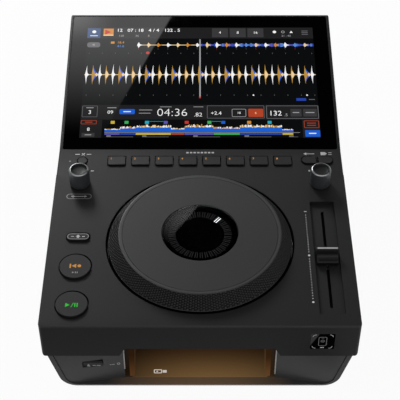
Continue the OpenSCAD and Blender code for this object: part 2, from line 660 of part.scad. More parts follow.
// Carriage inside the body, with the tab that comes up through the slot
module fader_lever() color([0.4, 0.41, 0.43]) on_deck(fader_x, fader_at, body_top - body_h + 1 + 0.4) {
    plate(10.2, 12, body_h - 2 - 0.8, 1);
    translate([-lever_w / 2, -lever_l / 2, 0]) cube([lever_w, lever_l, cap_h - body_top + body_h - 1.4 - 3]);
}
cap_low = plate_z + 1;
cap_step = 2;          // height of the cap's two end ridges
fin_t = 3;             // thickness of the fin at its crest
module fader_cap() color([0.06, 0.06, 0.06]) on_deck(fader_x, fader_at) difference() {
    rotate([90, 0, 90]) translate([0, 0, -cap_w / 2]) linear_extrude(cap_w) polygon(concat(
        [[-cap_l / 2, cap_low], [cap_l / 2, cap_low]], arc(cap_l / 2 - 1, cap_step - 1, 1, 0, 90, 4),
        [[cap_l / 2 - 4.4, cap_step + 0.5], [fin_t / 2 + 1.1, cap_step + 2.6], [fin_t / 2 + 0.2, cap_h - 1],
        [fin_t / 2 - 0.3, cap_h], [-fin_t / 2 + 0.3, cap_h], [-fin_t / 2 - 0.2, cap_h - 1],
        [-fin_t / 2 - 1.1, cap_step + 2.6], [-cap_l / 2 + 4.4, cap_step + 0.5]],
        arc(-cap_l / 2 + 1, cap_step - 1, 1, 90, 180, 4)));
    translate([-lever_w / 2, -lever_l / 2, cap_low - over]) cube([lever_w, lever_l, cap_h - 3 - cap_low + over]);
}

// ---- Knobs and encoders -----------------------------------------------------

shaft_r = shaft_d / 2;
bushing_r = shaft_r + 0.6;
run_fit = 0.05;        // radial clearance of the shafts in their bushings
knob_low = 0.8 + push_travel - 0.5;
can_w = 12.4;
can_h = 7;
can_floor = board_z + 0.8;
bushing_top = deck_h + 1.5;

module knob(s) {
    r = knob_d / 2;
    on_deck(s * knob_x, knob_at) difference() {
        rotate_extrude() polygon([[0, knob_low], [r - 0.5, knob_low], [r, knob_low + 0.5], [r - 0.25, knob_h - 1.4],
            [r - 1.5, knob_h], [r - 2.3, knob_h], [r - 2.8, knob_h - 0.9], [0, knob_h - 1.5]]);
        translate([0, 0, knob_low - over]) cylinder(r = bushing_r + 1, h = 3 - knob_low + over);
        intersection() {
            cylinder(r = shaft_r, h = knob_h - 4);
            translate([-knob_d, -knob_d, 0]) cube([2 * knob_d, knob_d + shaft_r - 0.8, knob_h]);
        }
    }
}
module shaft(s) {
    on_deck(s * knob_x, knob_at) {
        translate([0, 0, plunger_top + slack / 2]) cylinder(r = shaft_r, h = 3 - plunger_top - slack / 2);
        intersection() {
            translate([0, 0, 2]) cylinder(r = shaft_r, h = knob_h - 6);
            translate([-knob_d, -knob_d, 2]) cube([2 * knob_d, knob_d + shaft_r - 0.8, knob_h]);
        }
        translate([0, 0, plunger_top + 0.6]) cylinder(r = shaft_r + 1.1, h = 1);
    }
}
plunger_top = can_floor + 1.6 - deck_h;
module plunger(s) {
    on_deck(s * knob_x, knob_at, plunger_top - 0.9) cylinder(r = 2, h = 0.9);
}
module encoder(s) {
    translate([s * knob_x, front + knob_at, board_z]) difference() {
        union() {
            plate(can_w, can_w, can_h, 0.5);
            cylinder(r = bushing_r, h = bushing_top - board_z);
        }
        translate([0, 0, can_floor - board_z]) cylinder(r = 4.8, h = can_h - 1.6);
        translate([0, 0, can_floor - board_z]) cylinder(r = shaft_r + run_fit, h = bushing_top - board_z);
    }
}
module selector_knob() color([0.14, 0.15, 0.16]) knob(-1);
module loop_knob() color([0.14, 0.15, 0.16]) knob(1);
module selector_shaft() color([0.7, 0.7, 0.72]) shaft(-1);
module loop_shaft() color([0.7, 0.7, 0.72]) shaft(1);
module selector_plunger() color([0.8, 0.8, 0.7]) plunger(-1);
module loop_plunger() color([0.8, 0.8, 0.7]) plunger(1);
module selector_encoder() color([0.5, 0.5, 0.52]) encoder(-1);
module loop_encoder() color([0.5, 0.5, 0.52]) encoder(1);

// ---- Buttons ----------------------------------------------------------------

shift_w = 18.4;
shift_d = 7;
delete_r = 4;
pair_w = 12.2;
pair_d = 8.4;
pair_step = 7.3;       // back and tag keys stand this far either side of their middle
pair_x = side - 21.9;
pair_back = 1;
flange = 1;            // how far a key's flange reaches past its hole
flange_t = 1.2;
flange_z = deck_under - 0.3 - flange_t;
switch_top = board_z + 4.5;
function cue_x(i) = (i - 3.5) * cue_pitch - 0.2;   // the row stands a little left of the middle

// Outline of the back (s = -1) or tag (s = 1) key: round at its outer end
module pair_outline(s, grow) {
    r = pair_d / 2 + grow;
    translate([s * (pair_w / 2 - pair_d / 2), 0]) circle(r);
    translate([s * -(pair_d / 4), 0]) square([pair_w - pair_d / 2 + 2 * grow, 2 * r], center = true);
}
// A flanged key: its face outline, how proud it stands, and a stem over its switch
module key(x, at, proud) {
    on_deck(x, at, flange_z - deck_h) linear_extrude(deck_h - flange_z + proud) children(0);
    on_deck(x, at, flange_z - deck_h) linear_extrude(flange_t) children(1);
    on_deck(x, at, switch_top + key_travel + slack - deck_h)
        cylinder(r = 1.8, h = flange_z - switch_top - key_travel - slack);
}
module cue_pad(i) {
    reach = 2 * (key_gap + flange);
    color([0.13, 0.13, 0.135]) key(cue_x(i), row_at, key_proud) {
        rounded(cue_pad_w, cue_pad_d, 0.8);
        rounded(cue_pad_w + reach, cue_pad_d + reach, 0.8);
    }
}
module round_key(at) {
    color([0.14, 0.14, 0.145]) key(-column_x, at, round_proud) {
        circle(round_r);
        circle(round_r + key_gap + flange);
    }
}
module shift_button() {
    reach = 2 * (key_gap + flange);
    color([0.14, 0.14, 0.145]) key(-column_x, shift_at, round_proud) {
        rounded(shift_w, shift_d, shift_d / 2);
        rounded(shift_w + reach, shift_d + reach, shift_d / 2);
    }
}
module cue_button() round_key(cue_at);
module play_button() round_key(play_at);
module delete_button() color([0.14, 0.14, 0.145]) key(-knob_x, row_at, key_proud) {
    circle(delete_r);
    circle(delete_r + key_gap + flange);
}
module pair_key(s) {
    color([0.14, 0.14, 0.145]) key(pair_x + s * pair_step, row_at + pair_back, key_proud) {
        pair_outline(s, 0);
        intersection() {
            pair_outline(s, key_gap + flange);
            translate([s * 20, 0]) square([40 + 2 * (pair_step - 0.3), 40], center = true);
        }
    }
}
module back_button() pair_key(-1);
module tag_button() pair_key(1);

// ---- Control board with its key switches ---------------------------------------

board_edge = side - cover_wall - 1;
board_back = row_at + 11;
board_arm = 40.5;      // width of the board's two arms
board_row = 24.1;      // depth of the strip behind the jog wheel
board_right = 53.6;    // depth of the right arm, which ends behind the slider
module control_board() color([0.05, 0.25, 0.12]) {
    translate([0, front, board_z - board_t]) linear_extrude(board_t) difference() {
        union() {
            translate([-board_edge, 5]) square([board_arm, board_back - 5]);
            translate([-board_edge, board_back - board_row]) square([2 * board_edge, board_row]);
            translate([board_edge - board_arm, board_back - board_right]) square([board_arm, board_right]);
        }
        translate([0, jog_at]) circle(r = well_r + 4.5);
        for (s = [-1, 1], p = [front_post, mid_post]) translate([s * p[0], p[1]]) circle(boss_r + 1);
        for (p = board_posts) translate(p) circle(1.2);
    }
    for (i = [0:7]) tact(cue_x(i), row_at);
    for (at = [cue_at, play_at, shift_at]) tact(-column_x, at);
    tact(-knob_x, row_at);
    for (s = [-1, 1]) tact(pair_x + s * pair_step, row_at + pair_back);
}
// A 6 mm key switch on the board
module tact(x, at) {
    translate([x - 3, front + at - 3, board_z]) cube([6, 6, 3.5]);
    translate([x, front + at, board_z]) cylinder(r = 1.7, h = switch_top - board_z);
}

// ---- Electronics in the base -----------------------------------------------------

main_gap = 5;          // room under the main board
main_z = base_z + base_floor + main_gap;
main_left = -70;
main_right = side - 33;
main_front = bay_back + 17;
main_l = 172;
main_inset = [30, 10, 12];     // main board posts: in from its left, right, and front and back edges
main_posts = [for (x = [main_left + main_inset[0], main_right - main_inset[0] - 2], y = [main_front + main_inset[1],
    main_front + main_l - main_inset[2]]) [x, y]];
chip_h = 2.4;
heat_sink_h = 10;
module main_board() color([0.05, 0.25, 0.12]) {
    top = main_z + board_t;
    difference() {
        block([main_left, front + main_front, main_z], [main_right, front + main_front + main_l, top]);
        for (s = [-1, 1]) translate([s * mid_post[0], front + mid_post[1], main_z - over]) cylinder(r = 6.5, h = board_t + 2 * over);
    }
    // Processor with its heat sink, two memory chips and a row of capacitors
    translate([-10, front + main_front + 45, top]) {
        plate(30, 30, chip_h, 0.5);
        translate([0, 0, chip_h]) plate(24, 24, heat_sink_h, 0.5);
    }
    translate([27, front + main_front + 47, top]) plate(14, 14, chip_h / 2, 0.3);
    translate([-53, front + main_front + 117, top]) plate(14, 14, chip_h / 2, 0.3);
    for (x = [20:14:62]) translate([x, front + main_front + main_l - 27, top]) cylinder(r = 4, h = 9);
}
psu_w = 72;
psu_l = 54;
psu_left = 33 - side;
psu_front = base_back - 33 - psu_l;
psu_z = main_z - 1;
tall_part_h = 22;      // the supply's transformer and its two large capacitors
module power_supply() color([0.35, 0.28, 0.1]) translate([psu_left, front + psu_front, psu_z]) {
    cube([psu_w, psu_l, board_t]);
    translate([12, 8, board_t]) cube([28, 28, tall_part_h]);
    for (y = [12, 32]) translate([psu_l, y, board_t]) cylinder(r = 8, h = tall_part_h);
    for (x = [6, psu_w - 6], y = [psu_l - 4, 4]) translate([x, y, bay_floor - psu_z]) cylinder(r = 2.5, h = psu_z - bay_floor);
}

// ---- Rear panel and sockets --------------------------------------------------------

panel_h = 34;
panel_z = base_z + 23;
panel_t = 1.2;
panel_at = base_back - base_wall - panel_t;
inlet_x = -56;
inlet_w = 27.6;
inlet_h = 20;
power_x = -24;
power_r = 5;
lan_x = 14;
lan_w = 16.4;
lan_h = 14;
jack_x = [40, 56];
jack_r = 4.6;
module rear_panel() color([0.12, 0.12, 0.125]) difference() {
    translate([0, front + panel_at, panel_z]) rotate([-90, 0, 0]) plate(panel_w, panel_h, panel_t, 2);
    translate([inlet_x, front + panel_at - over, panel_z]) rotate([-90, 0, 0]) plate(inlet_w + 2 * fit, inlet_h + 2 * fit, 4, 2);
    translate([lan_x, front + panel_at - over, panel_z]) rotate([-90, 0, 0]) plate(lan_w + 2 * fit, lan_h + 2 * fit, 4, 0.6);
    translate([power_x, front + panel_at - over, panel_z]) rotate([-90, 0, 0]) cylinder(r = power_r + 0.4, h = 4);
    for (x = jack_x) translate([x, front + panel_at - over, panel_z]) rotate([-90, 0, 0]) cylinder(r = jack_r + fit, h = 4);
    translate([70, front + panel_at - over, panel_z]) rotate([-90, 0, 0]) plate(7, 3, 4, 1.4);
}
module ac_inlet() color([0.05, 0.05, 0.05]) translate([inlet_x, front + panel_at, panel_z]) {
    difference() {
        union() {
            translate([0, -16, 0]) rotate([-90, 0, 0]) plate(inlet_w, inlet_h, 20.4, 2);
            translate([0, panel_t, 0]) rotate([-90, 0, 0]) plate(inlet_w + 4, inlet_h + 4, 1.6, 2);
        }
        translate([0, -12, 0]) rotate([-90, 0, 0]) plate(inlet_w - 3, inlet_h - 3, 20, 2);
    }
    for (p = [[-7, -1.5], [0, 3], [7, -1.5]]) translate([p[0] - 1, -13, p[1] - 2]) cube([2, 9, 4]);
}
module power_button() color([0.1, 0.1, 0.1]) translate([power_x, front + panel_at, panel_z]) {
    translate([0, -6, 0]) rotate([-90, 0, 0]) cylinder(r = power_r, h = 6 + panel_t + 3);
    translate([0, -3, 0]) rotate([-90, 0, 0]) cylinder(r = power_r + 1.2, h = 2.6);
}
// Socket board: network jack, line output jacks and the power switch's body
module rear_jacks() color([0.6, 0.61, 0.63]) {
    low = panel_z - lan_h / 2;
    block([power_x - 9, front + panel_at - 22, low - board_t], [jack_x[1] + 8, front + panel_at, low]);
    translate([power_x, front + panel_at, 0]) difference() {
        block([-7, -20, low], [7, -7.8, panel_z + 7]);
        translate([0, -20 - over, panel_z]) rotate([-90, 0, 0]) cylinder(r = 2, h = 14);
    }
    translate([lan_x, front + panel_at, panel_z]) difference() {
        translate([0, -18, 0]) rotate([-90, 0, 0]) plate(lan_w, lan_h, 18 + panel_t + 0.8, 0.5);
        translate([0, -12, 0]) rotate([-90, 0, 0]) plate(lan_w - 4, lan_h - 5, 20, 0.5);
    }
    for (x = jack_x) translate([x, front + panel_at, panel_z]) rotate([-90, 0, 0]) difference() {
        union() {
            translate([0, 0, -10]) cylinder(r = jack_r, h = 10 + panel_t + 1);
            cylinder(r = jack_r - 1, h = panel_t + 5.4);
            translate([-5, -5, -10]) cube([10, 5 + lan_h / 2, 8]);
        }
        translate([0, 0, panel_t - 2]) cylinder(r = 1.7, h = 10);
    }
}

// ---- Screws ---------------------------------------------------------------------------

// A pan-head screw, head down, its shank starting at the local zero
module screw(shank) {
    cylinder(r = post_hole_r, h = shank);
    difference() {
        translate([0, 0, -1.8]) cylinder(r = 2.8, h = 1.8);
        translate([0, 0, -1.8 - over]) cylinder(r = 1, h = over + 1.2, $fn = 6);
    }
}
module screws() color([0.5, 0.5, 0.52]) {
    for (s = [-1, 1], p = case_posts) translate([s * p[0], front + p[1], joint_z - 5]) screw(16);
    for (a = [45:90:315]) on_deck(frame_boss_r * cos(a), jog_at + frame_boss_r * sin(a), frame_z - deck_h) screw(8);
    for (p = board_posts) on_deck(p[0], p[1], board_z - board_t - deck_h) {
        cylinder(r = 1, h = 7);
        translate([0, 0, -1.4]) cylinder(r = 2.2, h = 1.4);
    }
}

top_cover();
base_shell();
left_fascia();
right_fascia();
bay_liner();
bay_light_guides();
feet();
screws();
screen_glass();
lcd_panel();
screen_bracket();
rear_panel();
rear_jacks();
ac_inlet();
power_button();
jog_top_plate();
jog_ring();
jog_hub();
jog_bearing_outer();
jog_bearing_inner();
jog_bearing_balls();
jog_base_frame();
jog_display_post();
jog_display_panel();
jog_lens();
jog_encoder_disc();
jog_encoder_sensor();
fader_plate();
fader_body();
fader_lever();
fader_cap();
selector_knob();
selector_shaft();
selector_plunger();
selector_encoder();
loop_knob();
loop_shaft();
loop_plunger();
loop_encoder();
cue_pad(0);  // hot_cue_button_1
cue_pad(1);  // hot_cue_button_2
cue_pad(2);  // hot_cue_button_3
cue_pad(3);  // hot_cue_button_4
cue_pad(4);  // hot_cue_button_5
cue_pad(5);  // hot_cue_button_6
cue_pad(6);  // hot_cue_button_7
cue_pad(7);  // hot_cue_button_8
shift_button();
cue_button();
play_button();
delete_button();
back_button();
tag_button();
eject_button();
control_board();
main_board();
power_supply();
usb_sockets();
nfc_window();
eject_switch();
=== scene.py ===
"""A compact media player for DJs, dressed piece by piece in the order it is put together."""
import math
import random

import bmesh
import bpy
from mathutils import Matrix, Vector


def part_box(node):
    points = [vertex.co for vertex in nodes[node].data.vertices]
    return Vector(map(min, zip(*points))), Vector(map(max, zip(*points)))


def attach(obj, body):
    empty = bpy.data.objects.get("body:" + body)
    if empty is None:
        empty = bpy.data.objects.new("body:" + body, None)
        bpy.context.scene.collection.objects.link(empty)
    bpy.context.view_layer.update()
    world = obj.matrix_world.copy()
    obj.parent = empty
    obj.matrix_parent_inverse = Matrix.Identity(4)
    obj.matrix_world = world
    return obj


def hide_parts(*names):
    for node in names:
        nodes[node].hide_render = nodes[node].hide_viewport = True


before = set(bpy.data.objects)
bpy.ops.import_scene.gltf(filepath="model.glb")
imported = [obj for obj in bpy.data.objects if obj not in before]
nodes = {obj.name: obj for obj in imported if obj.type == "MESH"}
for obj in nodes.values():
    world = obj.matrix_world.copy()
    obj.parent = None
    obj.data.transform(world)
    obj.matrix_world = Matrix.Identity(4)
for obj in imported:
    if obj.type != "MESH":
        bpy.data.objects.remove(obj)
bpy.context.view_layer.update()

# ---- Camera, light and floor -------------------------------------------
# A table-top studio: a white surround, a soft key light from behind on the
# left, a faint fill, and cards that only the shiny surfaces see.

scene = bpy.context.scene
scene.view_settings.view_transform = "Standard"


def placed(name, data):
    """Puts a thing in the scene."""
    thing = bpy.data.objects.new(name, data)
    scene.collection.objects.link(thing)
    return thing


camera = placed("camera", bpy.data.cameras.new("camera"))
camera.data.lens = 106.7
camera.data.sensor_width = 36
camera.data.clip_start = 0.05
camera.location = (0, -0.7595, 0.7983)
camera.rotation_euler = (math.radians(45), 0, 0)
scene.camera = camera


class Shade:
    """A value among a finish's nodes. Sums written with it add Math nodes."""

    def __init__(self, tree, socket=None):
        self.tree, self.socket = tree, socket

    def node(self, kind, settings=None, sockets=None, out=0):
        new = self.tree.nodes.new(kind)
        for key, value in (settings or {}).items():
            setattr(new, key, value)
        for key, value in (sockets or {}).items():
            if isinstance(value, Shade):
                self.tree.links.new(value.socket, new.inputs[key])
            else:
                new.inputs[key].default_value = value
        return Shade(self.tree, new.outputs[out] if len(new.outputs) else None)

    def maths(self, operation, *others):
        return self.node("ShaderNodeMath", {"operation": operation}, dict(enumerate((self, *others))))

    def __add__(self, other):
        return self.maths("ADD", other)

    def __sub__(self, other):
        return self.maths("SUBTRACT", other)

    def __rsub__(self, other):
        return self * -1 + other

    def __mul__(self, other):
        return self.maths("MULTIPLY", other)

    def __gt__(self, other):
        return self.maths("GREATER_THAN", other)

    __radd__ = __add__
    __rmul__ = __mul__

    def step(self, low, high, bottom=0.0, top=1.0):
        """Rises from bottom to top, with soft ends, as this value goes from low to high."""
        return self.node("ShaderNodeMapRange", {"interpolation_type": "SMOOTHSTEP"},
                         {0: self, 1: low, 2: high, 3: bottom, 4: top})

    def between(self, first, second):
        """The colour that lies this far from the first to the second."""
        return self.node("ShaderNodeMix", {"data_type": "RGBA"}, {0: self, 6: first, 7: second}, out=2)


def position(root, axes):
    """Where a point of a surface is, in metres along the axes named, such as XY."""
    place = root.node("ShaderNodeNewGeometry", out="Position")
    return [root.node("ShaderNodeSeparateXYZ", {}, {0: place}, out=axis) for axis in axes]


def seen_rays(root):
    """1 for the rays that show the surround: the camera's, mirrored ones and those through glass."""
    camera_ray, mirrored, through = [root.node("ShaderNodeLightPath", out=name)
                                     for name in ("Is Camera Ray", "Is Glossy Ray", "Is Transmission Ray")]
    return camera_ray.maths("MAXIMUM", mirrored).maths("MAXIMUM", through)


world = bpy.data.worlds.new("studio")
scene.world = world
world.use_nodes = True
background = world.node_tree.nodes["Background"]
background.inputs["Color"].default_value = (1, 1, 1, 1)
surround = Shade(world.node_tree)
brightness = surround.node("ShaderNodeMix", {"data_type": "FLOAT"}, {0: seen_rays(surround), 2: 0.22, 3: 1.0})
world.node_tree.links.new(brightness.socket, background.inputs["Strength"])


def stage_sheet(name, corners, height, camera_sees):
    """A flat sheet of the studio at a height, from its lower-left to its upper-right corner in x and y."""
    (x0, y0), (x1, y1) = corners
    mesh = bpy.data.meshes.new(name)
    mesh.from_pydata([(x, y, height) for x, y in ((x0, y0), (x1, y0), (x1, y1), (x0, y1))], [], [(0, 1, 2, 3)])
    sheet = placed(name, mesh)
    if not camera_sees:
        sheet.visible_camera = sheet.visible_diffuse = sheet.visible_shadow = False
    material = bpy.data.materials.new(name)
    material.use_nodes = True
    material.node_tree.nodes.clear()
    mesh.materials.append(material)
    return Shade(material.node_tree)


def shine(root, shader):
    """Ends a sheet's nodes in this shader."""
    root.tree.links.new(shader.socket, root.tree.nodes.new("ShaderNodeOutputMaterial").inputs["Surface"])


def glow_white(root, strength):
    """Ends a sheet's nodes in white light of this strength."""
    shine(root, root.node("ShaderNodeEmission", {}, {"Strength": strength}))


floor = stage_sheet("floor", ((-4, -4), (4, 4)), 0.0, True)
white = floor.node("ShaderNodeEmission", {}, {"Color": (1, 1, 1, 1), "Strength": 1.0})
paper = floor.node("ShaderNodeBsdfDiffuse", {}, {"Color": (0.93, 0.93, 0.93, 1)})
shine(floor, floor.node("ShaderNodeMixShader", {}, {0: seen_rays(floor) * 0.95, 1: paper, 2: white}))

# The card overhead is bright on the left of a long edge and dark on its right, and dims toward its front.
# Past the part that the screen mirrors, the edge turns to the right.
card = stage_sheet("overhead_card", ((-8, 0.1), (8, 14)), 1.2, False)
card_x, card_y = position(card, "XY")
edge_x = (card_y - 0.973) * 0.465 - 0.0599 + (card_y - 0.978).maths("MAXIMUM", 0.0) * 3
lit_side = (edge_x - card_x).step(-0.0015, 0.0015)
corner = card_x.step(-0.262, -0.17, 1.5, 0.0) * card_y.step(0.90, 0.975)
dimming = card_y.step(0.68, 0.96, 0.0, 1.6)
nearest = card_y.step(0.30, 0.60, 0.6, 0.0)
strength = (lit_side * (dimming + corner)).maths("MAXIMUM", nearest)
for limit in (card_y.step(1.35, 1.75, 4.0, 0.75), card_x.step(-0.90, -0.60, 0.75, 4.0)):
    strength = strength.maths("MINIMUM", limit)
glow_white(card, strength)

# A small card above the jog is all that its lens mirrors, with an edge and a fade of its own
lens_card = stage_sheet("lens_card", ((-0.041, 0.040), (0.041, 0.1225)), 0.28, False)
lens_x, lens_y = position(lens_card, "XY")
open_side = ((lens_y - 0.1215) * 0.591 - 0.00125 - lens_x).step(-0.0005, 0.0005)
glow_white(lens_card, open_side * lens_y.step(0.0618, 0.1257, 0.0, 0.86))

# The card on the floor ahead keeps the front face dark. The reader window mirrors its slanted edge.
front_card = stage_sheet("front_card", ((-1.5, -2.2), (1.5, -0.20)), 0.001, False)
front_x, front_y = position(front_card, "XY")
slant = (front_x - 0.098) * 1.35 + (front_y + 0.2369)
beside = front_x.step(0.116, 0.119, 0.0, 0.8)
glow_white(front_card, slant.step(-0.0006, 0.0006, 0.5, 0.01) + beside)

# A strip of light ahead and overhead draws a fine bright line along the edges that face the viewer
edge_strip = stage_sheet("edge_strip", ((-1.6, -1.5), (1.6, -0.55)), 1.3, False)
strip_y = position(edge_strip, "Y")[0]
glow_white(edge_strip, strip_y.step(-1.2, -0.8, 3.0, 3.6))


def soft_light(name, place, target, size, watts):
    """A square soft box at a place, turned to a target."""
    lamp = bpy.data.lights.new(name, "AREA")
    lamp.energy, lamp.size = watts, size
    box = placed(name, lamp)
    box.location = place
    box.rotation_euler = (Vector(target) - Vector(place)).to_track_quat("-Z", "Y").to_euler()
    box.visible_camera = False
    return box


soft_light("key_light", (-0.56, 1.32, 0.90), (0, 0, 0.08), 0.42, 16.5)
soft_light("fill_light", (0.3, -1.5, 0.5), (0, 0, 0.05), 1.0, 3.6).visible_glossy = False

# ---- Feet ---------------------------------------------------------------
# Four turned rubber discs, bonded into shallow seats of the base. The rubber
# is matt, with a faint bloom and a trace of dust.


def new_finish(name, constants):
    """A material of one Principled shader, with its constants on the shader's own sockets."""
    material = bpy.data.materials.new(name)
    material.use_nodes = True
    for key, value in constants.items():
        material.node_tree.nodes["Principled BSDF"].inputs[key].default_value = value
    return material, Shade(material.node_tree)


def coat(material, values):
    """Links values to the sockets of a material's Principled shader."""
    for key, value in values.items():
        material.node_tree.links.new(value.socket, material.node_tree.nodes["Principled BSDF"].inputs[key])
    return material


def noise(root, size, detail=2.0):
    """Smooth noise from 0 to 1 whose patches are about this many millimetres across."""
    place = root.node("ShaderNodeTexCoord", out="Object")
    return root.node("ShaderNodeTexNoise", {}, {"Vector": place, "Scale": 1000.0 / size, "Detail": detail})


def bumped(root, height, depth):
    """A normal from a height of 0 to 1 that stands for this many millimetres."""
    return root.node("ShaderNodeBump", {}, {"Height": height, "Strength": 1.0, "Distance": depth / 1000})


def tinted(colour, shade):
    """A colour times a shade."""
    return shade.node("ShaderNodeVectorMath", {"operation": "SCALE"}, {0: colour, "Scale": shade})


def moulded(name, colour, rough, grain=0.5, depth=0.02, uneven=0.12, specular=0.15, lighter=None):
    """Injection-moulded plastic: a spark-eroded grain, and shade and gloss that drift a little across a face.
    lighter(root) gives how much lighter than the colour a place is."""
    material, root = new_finish(name, {"IOR": 1.46, "Specular IOR Level": specular})
    skin = noise(root, grain, 3.0)
    cloud = noise(root, 60)
    shade = cloud * uneven + skin * (uneven * 0.6) + (1 - uneven * 0.8)
    if lighter:
        shade = shade * lighter(root)
    return coat(material, {"Base Color": tinted(colour, shade),
                           "Roughness": cloud * 0.08 + skin * 0.08 + (rough - 0.08),
                           "Normal": bumped(root, skin, depth)})


def mending():
    """A modifier's node group: joins a node's faces where they meet and makes the curved ones smooth."""
    group = bpy.data.node_groups.new("join_faces", "GeometryNodeTree")
    group.interface.new_socket("Geometry", in_out="INPUT", socket_type="NodeSocketGeometry")
    group.interface.new_socket("Geometry", in_out="OUTPUT", socket_type="NodeSocketGeometry")
    root = Shade(group)
    mesh = root.node("NodeGroupInput")
    mesh = root.node("GeometryNodeMergeByDistance", {}, {"Geometry": mesh, "Distance": 2e-6})
    mesh = root.node("GeometryNodeRemoveAttribute", {}, {"Geometry": mesh, "Name": "custom_normal"})
    mesh = root.node("GeometryNodeSetShadeSmooth", {"domain": "FACE"}, {"Geometry": mesh, "Shade Smooth": True})
    sharp = root.node("GeometryNodeInputMeshEdgeAngle") > 0.55
    mesh = root.node("GeometryNodeSetShadeSmooth", {"domain": "EDGE"},
                     {"Geometry": mesh, "Selection": sharp, "Shade Smooth": False})
    root.node("NodeGroupOutput", {}, {"Geometry": mesh})
    return group


joined_faces = mending()


def dress(finish, *names, edges=0, segments=2):
    """Gives CAD nodes a finish, and rounds their sharp edges by this many millimetres."""
    for name in names:
        node = nodes[name]
        node.data.materials.clear()
        node.data.materials.append(finish)
        if edges:
            node.modifiers.new("joined_faces", "NODES").node_group = joined_faces
            bevel = node.modifiers.new("broken_edges", "BEVEL")
            bevel.width, bevel.segments = edges / 1000, segments
            bevel.limit_method, bevel.angle_limit = "ANGLE", 0.6
            bevel.harden_normals = True


dress(moulded("rubber", (0.018, 0.018, 0.019), 0.85, grain=0.8, depth=0.05, uneven=0.3), "feet", edges=0.6)

# ---- Base ---------------------------------------------------------------
# A dark grey ABS tray, stepped in under the cover, with sloping sides, round
# lower corners and a rim across its front. Self-tapping screws come up through it.


def glowing(material, shade, front_tone, back_tone):
    """Paints the warm light of the media bay into a face's glow, from the tone at its mouth to the tone at its
    back.
    """
    root = Shade(material.node_tree)
    depth = position(root, "Y")[0].step(-0.182, -0.139)
    material.node_tree.nodes["Principled BSDF"].inputs["Emission Strength"].default_value = 1.0
    tone = depth.between((*front_tone, 1), (*back_tone, 1))
    return coat(material, {"Emission Color": tinted(tone, shade(root))})


def ledge_light(root):
    """Where the bay's light, painted into the base's glow, falls on the ledge ahead of it."""
    x, y, z = position(root, "XYZ")
    middle = (1 - x * x * 170).maths("MAXIMUM", 0.0)
    return middle * z.step(0.010, 0.014, 1.0, 0.0) * y.step(-0.168, -0.160, 1.0, 0.0)


def painted_rim_highlight(root):
    """The base's lower front edge, painted paler as a highlight."""
    y, z = position(root, "YZ")
    return z.step(0.0042, 0.0046, 1.0, 0.0) * y.step(-0.172, -0.170, 1.0, 0.0) * 4 + 1


base_abs = moulded("base_abs", (0.044, 0.044, 0.045), 0.46, grain=0.45, depth=0.018, specular=0.3,
                   lighter=painted_rim_highlight)
dress(glowing(base_abs, ledge_light, (0.070, 0.040, 0.018), (0.030, 0.012, 0.004)), "base_shell", edges=0.35)


def metal(name, colour, rough, grain_scale=(1, 1, 1), uneven=0.25):
    """Bare or plated metal: fine marks, drawn out along the axes with a low scale, and a drifting gloss."""
    material, root = new_finish(name, {"Metallic": 1.0})
    place = root.node("ShaderNodeTexCoord", out="Object")
    drawn = root.node("ShaderNodeVectorMath", {"operation": "MULTIPLY"}, {0: place, 1: grain_scale})
    marks = root.node("ShaderNodeTexNoise", {}, {"Vector": drawn, "Scale": 1800.0, "Detail": 3.0})
    cloud = noise(root, 25)
    return coat(material, {"Base Color": tinted(colour, marks * uneven + (1 - uneven / 2)),
                           "Roughness": cloud * 0.1 + marks * 0.12 + (rough - 0.1),
                           "Normal": bumped(root, marks, 0.01)})


zinc = metal("zinc_plate", (0.52, 0.53, 0.55), 0.34)
dress(zinc, "screws", edges=0.15)

# ---- Fascias and eject key ----------------------------------------------
# Two satin ABS fascias fill the front of the base and turn back to the bay.
# The left one carries the eject key, which tilts in a recess.

fascia_abs = moulded("fascia_abs", (0.050, 0.050, 0.052), 0.42, grain=0.4, depth=0.012, specular=0.25)
dress(fascia_abs, "left_fascia", "right_fascia", edges=0.9, segments=3)
key_abs = moulded("key_abs", (0.0148, 0.0148, 0.0151), 0.5, grain=0.3, depth=0.01)


def painted_recess_shade(root):
    """The eject key is painted dark in its upper half, as shade where it tilts in under the edge of its recess."""
    return position(root, "Z")[0].step(0.0283, 0.0289, 1.0, 0.04)


dress(moulded("eject_abs", (0.042, 0.042, 0.044), 0.42, grain=0.3, depth=0.01, specular=0.1,
              lighter=painted_recess_shade), "eject_button", edges=0.4)
dress(moulded("board_green", (0.012, 0.07, 0.035), 0.35, grain=1.2, depth=0.03, uneven=0.35), "eject_switch")


def arc(x, y, r, start, end, step=15):
    """Points along an arc about x and y, from one angle to another in degrees."""
    count = round(abs(end - start) / step)
    angles = [math.radians(start + (end - start) * i / count) for i in range(count + 1)]
    return [(x + r * math.cos(a), y + r * math.sin(a)) for a in angles]


def bar(x0, y0, x1, y1, r=0.0):
    """Outline of a bar with round corners of radius r."""
    if r <= 0:
        return [(x0, y0), (x1, y0), (x1, y1), (x0, y1)]
    corners = ((x1 - r, y1 - r, 0), (x0 + r, y1 - r, 90), (x0 + r, y0 + r, 180), (x1 - r, y0 + r, 270))
    return [point for x, y, start in corners for point in arc(x, y, r, start, start + 90)]


def disc(x, y, r, count=24):
    """Outline of a round dot."""
    return [(x + r * math.cos(math.tau * i / count), y + r * math.sin(math.tau * i / count))
            for i in range(count)]


def turned_by(degrees, x, y, points):
    """An outline turned by an angle and moved to x and y."""
    c, s = math.cos(math.radians(degrees)), math.sin(math.radians(degrees))
    return [(x + px * c - py * s, y + px * s + py * c) for px, py in points]


def arrow(x, y, half, turn=0):
    """Outline of a triangle that points right, turned by an angle in degrees."""
    return turned_by(turn, x, y, [(-0.8 * half, half), (-0.8 * half, -half), (0.9 * half, 0)])


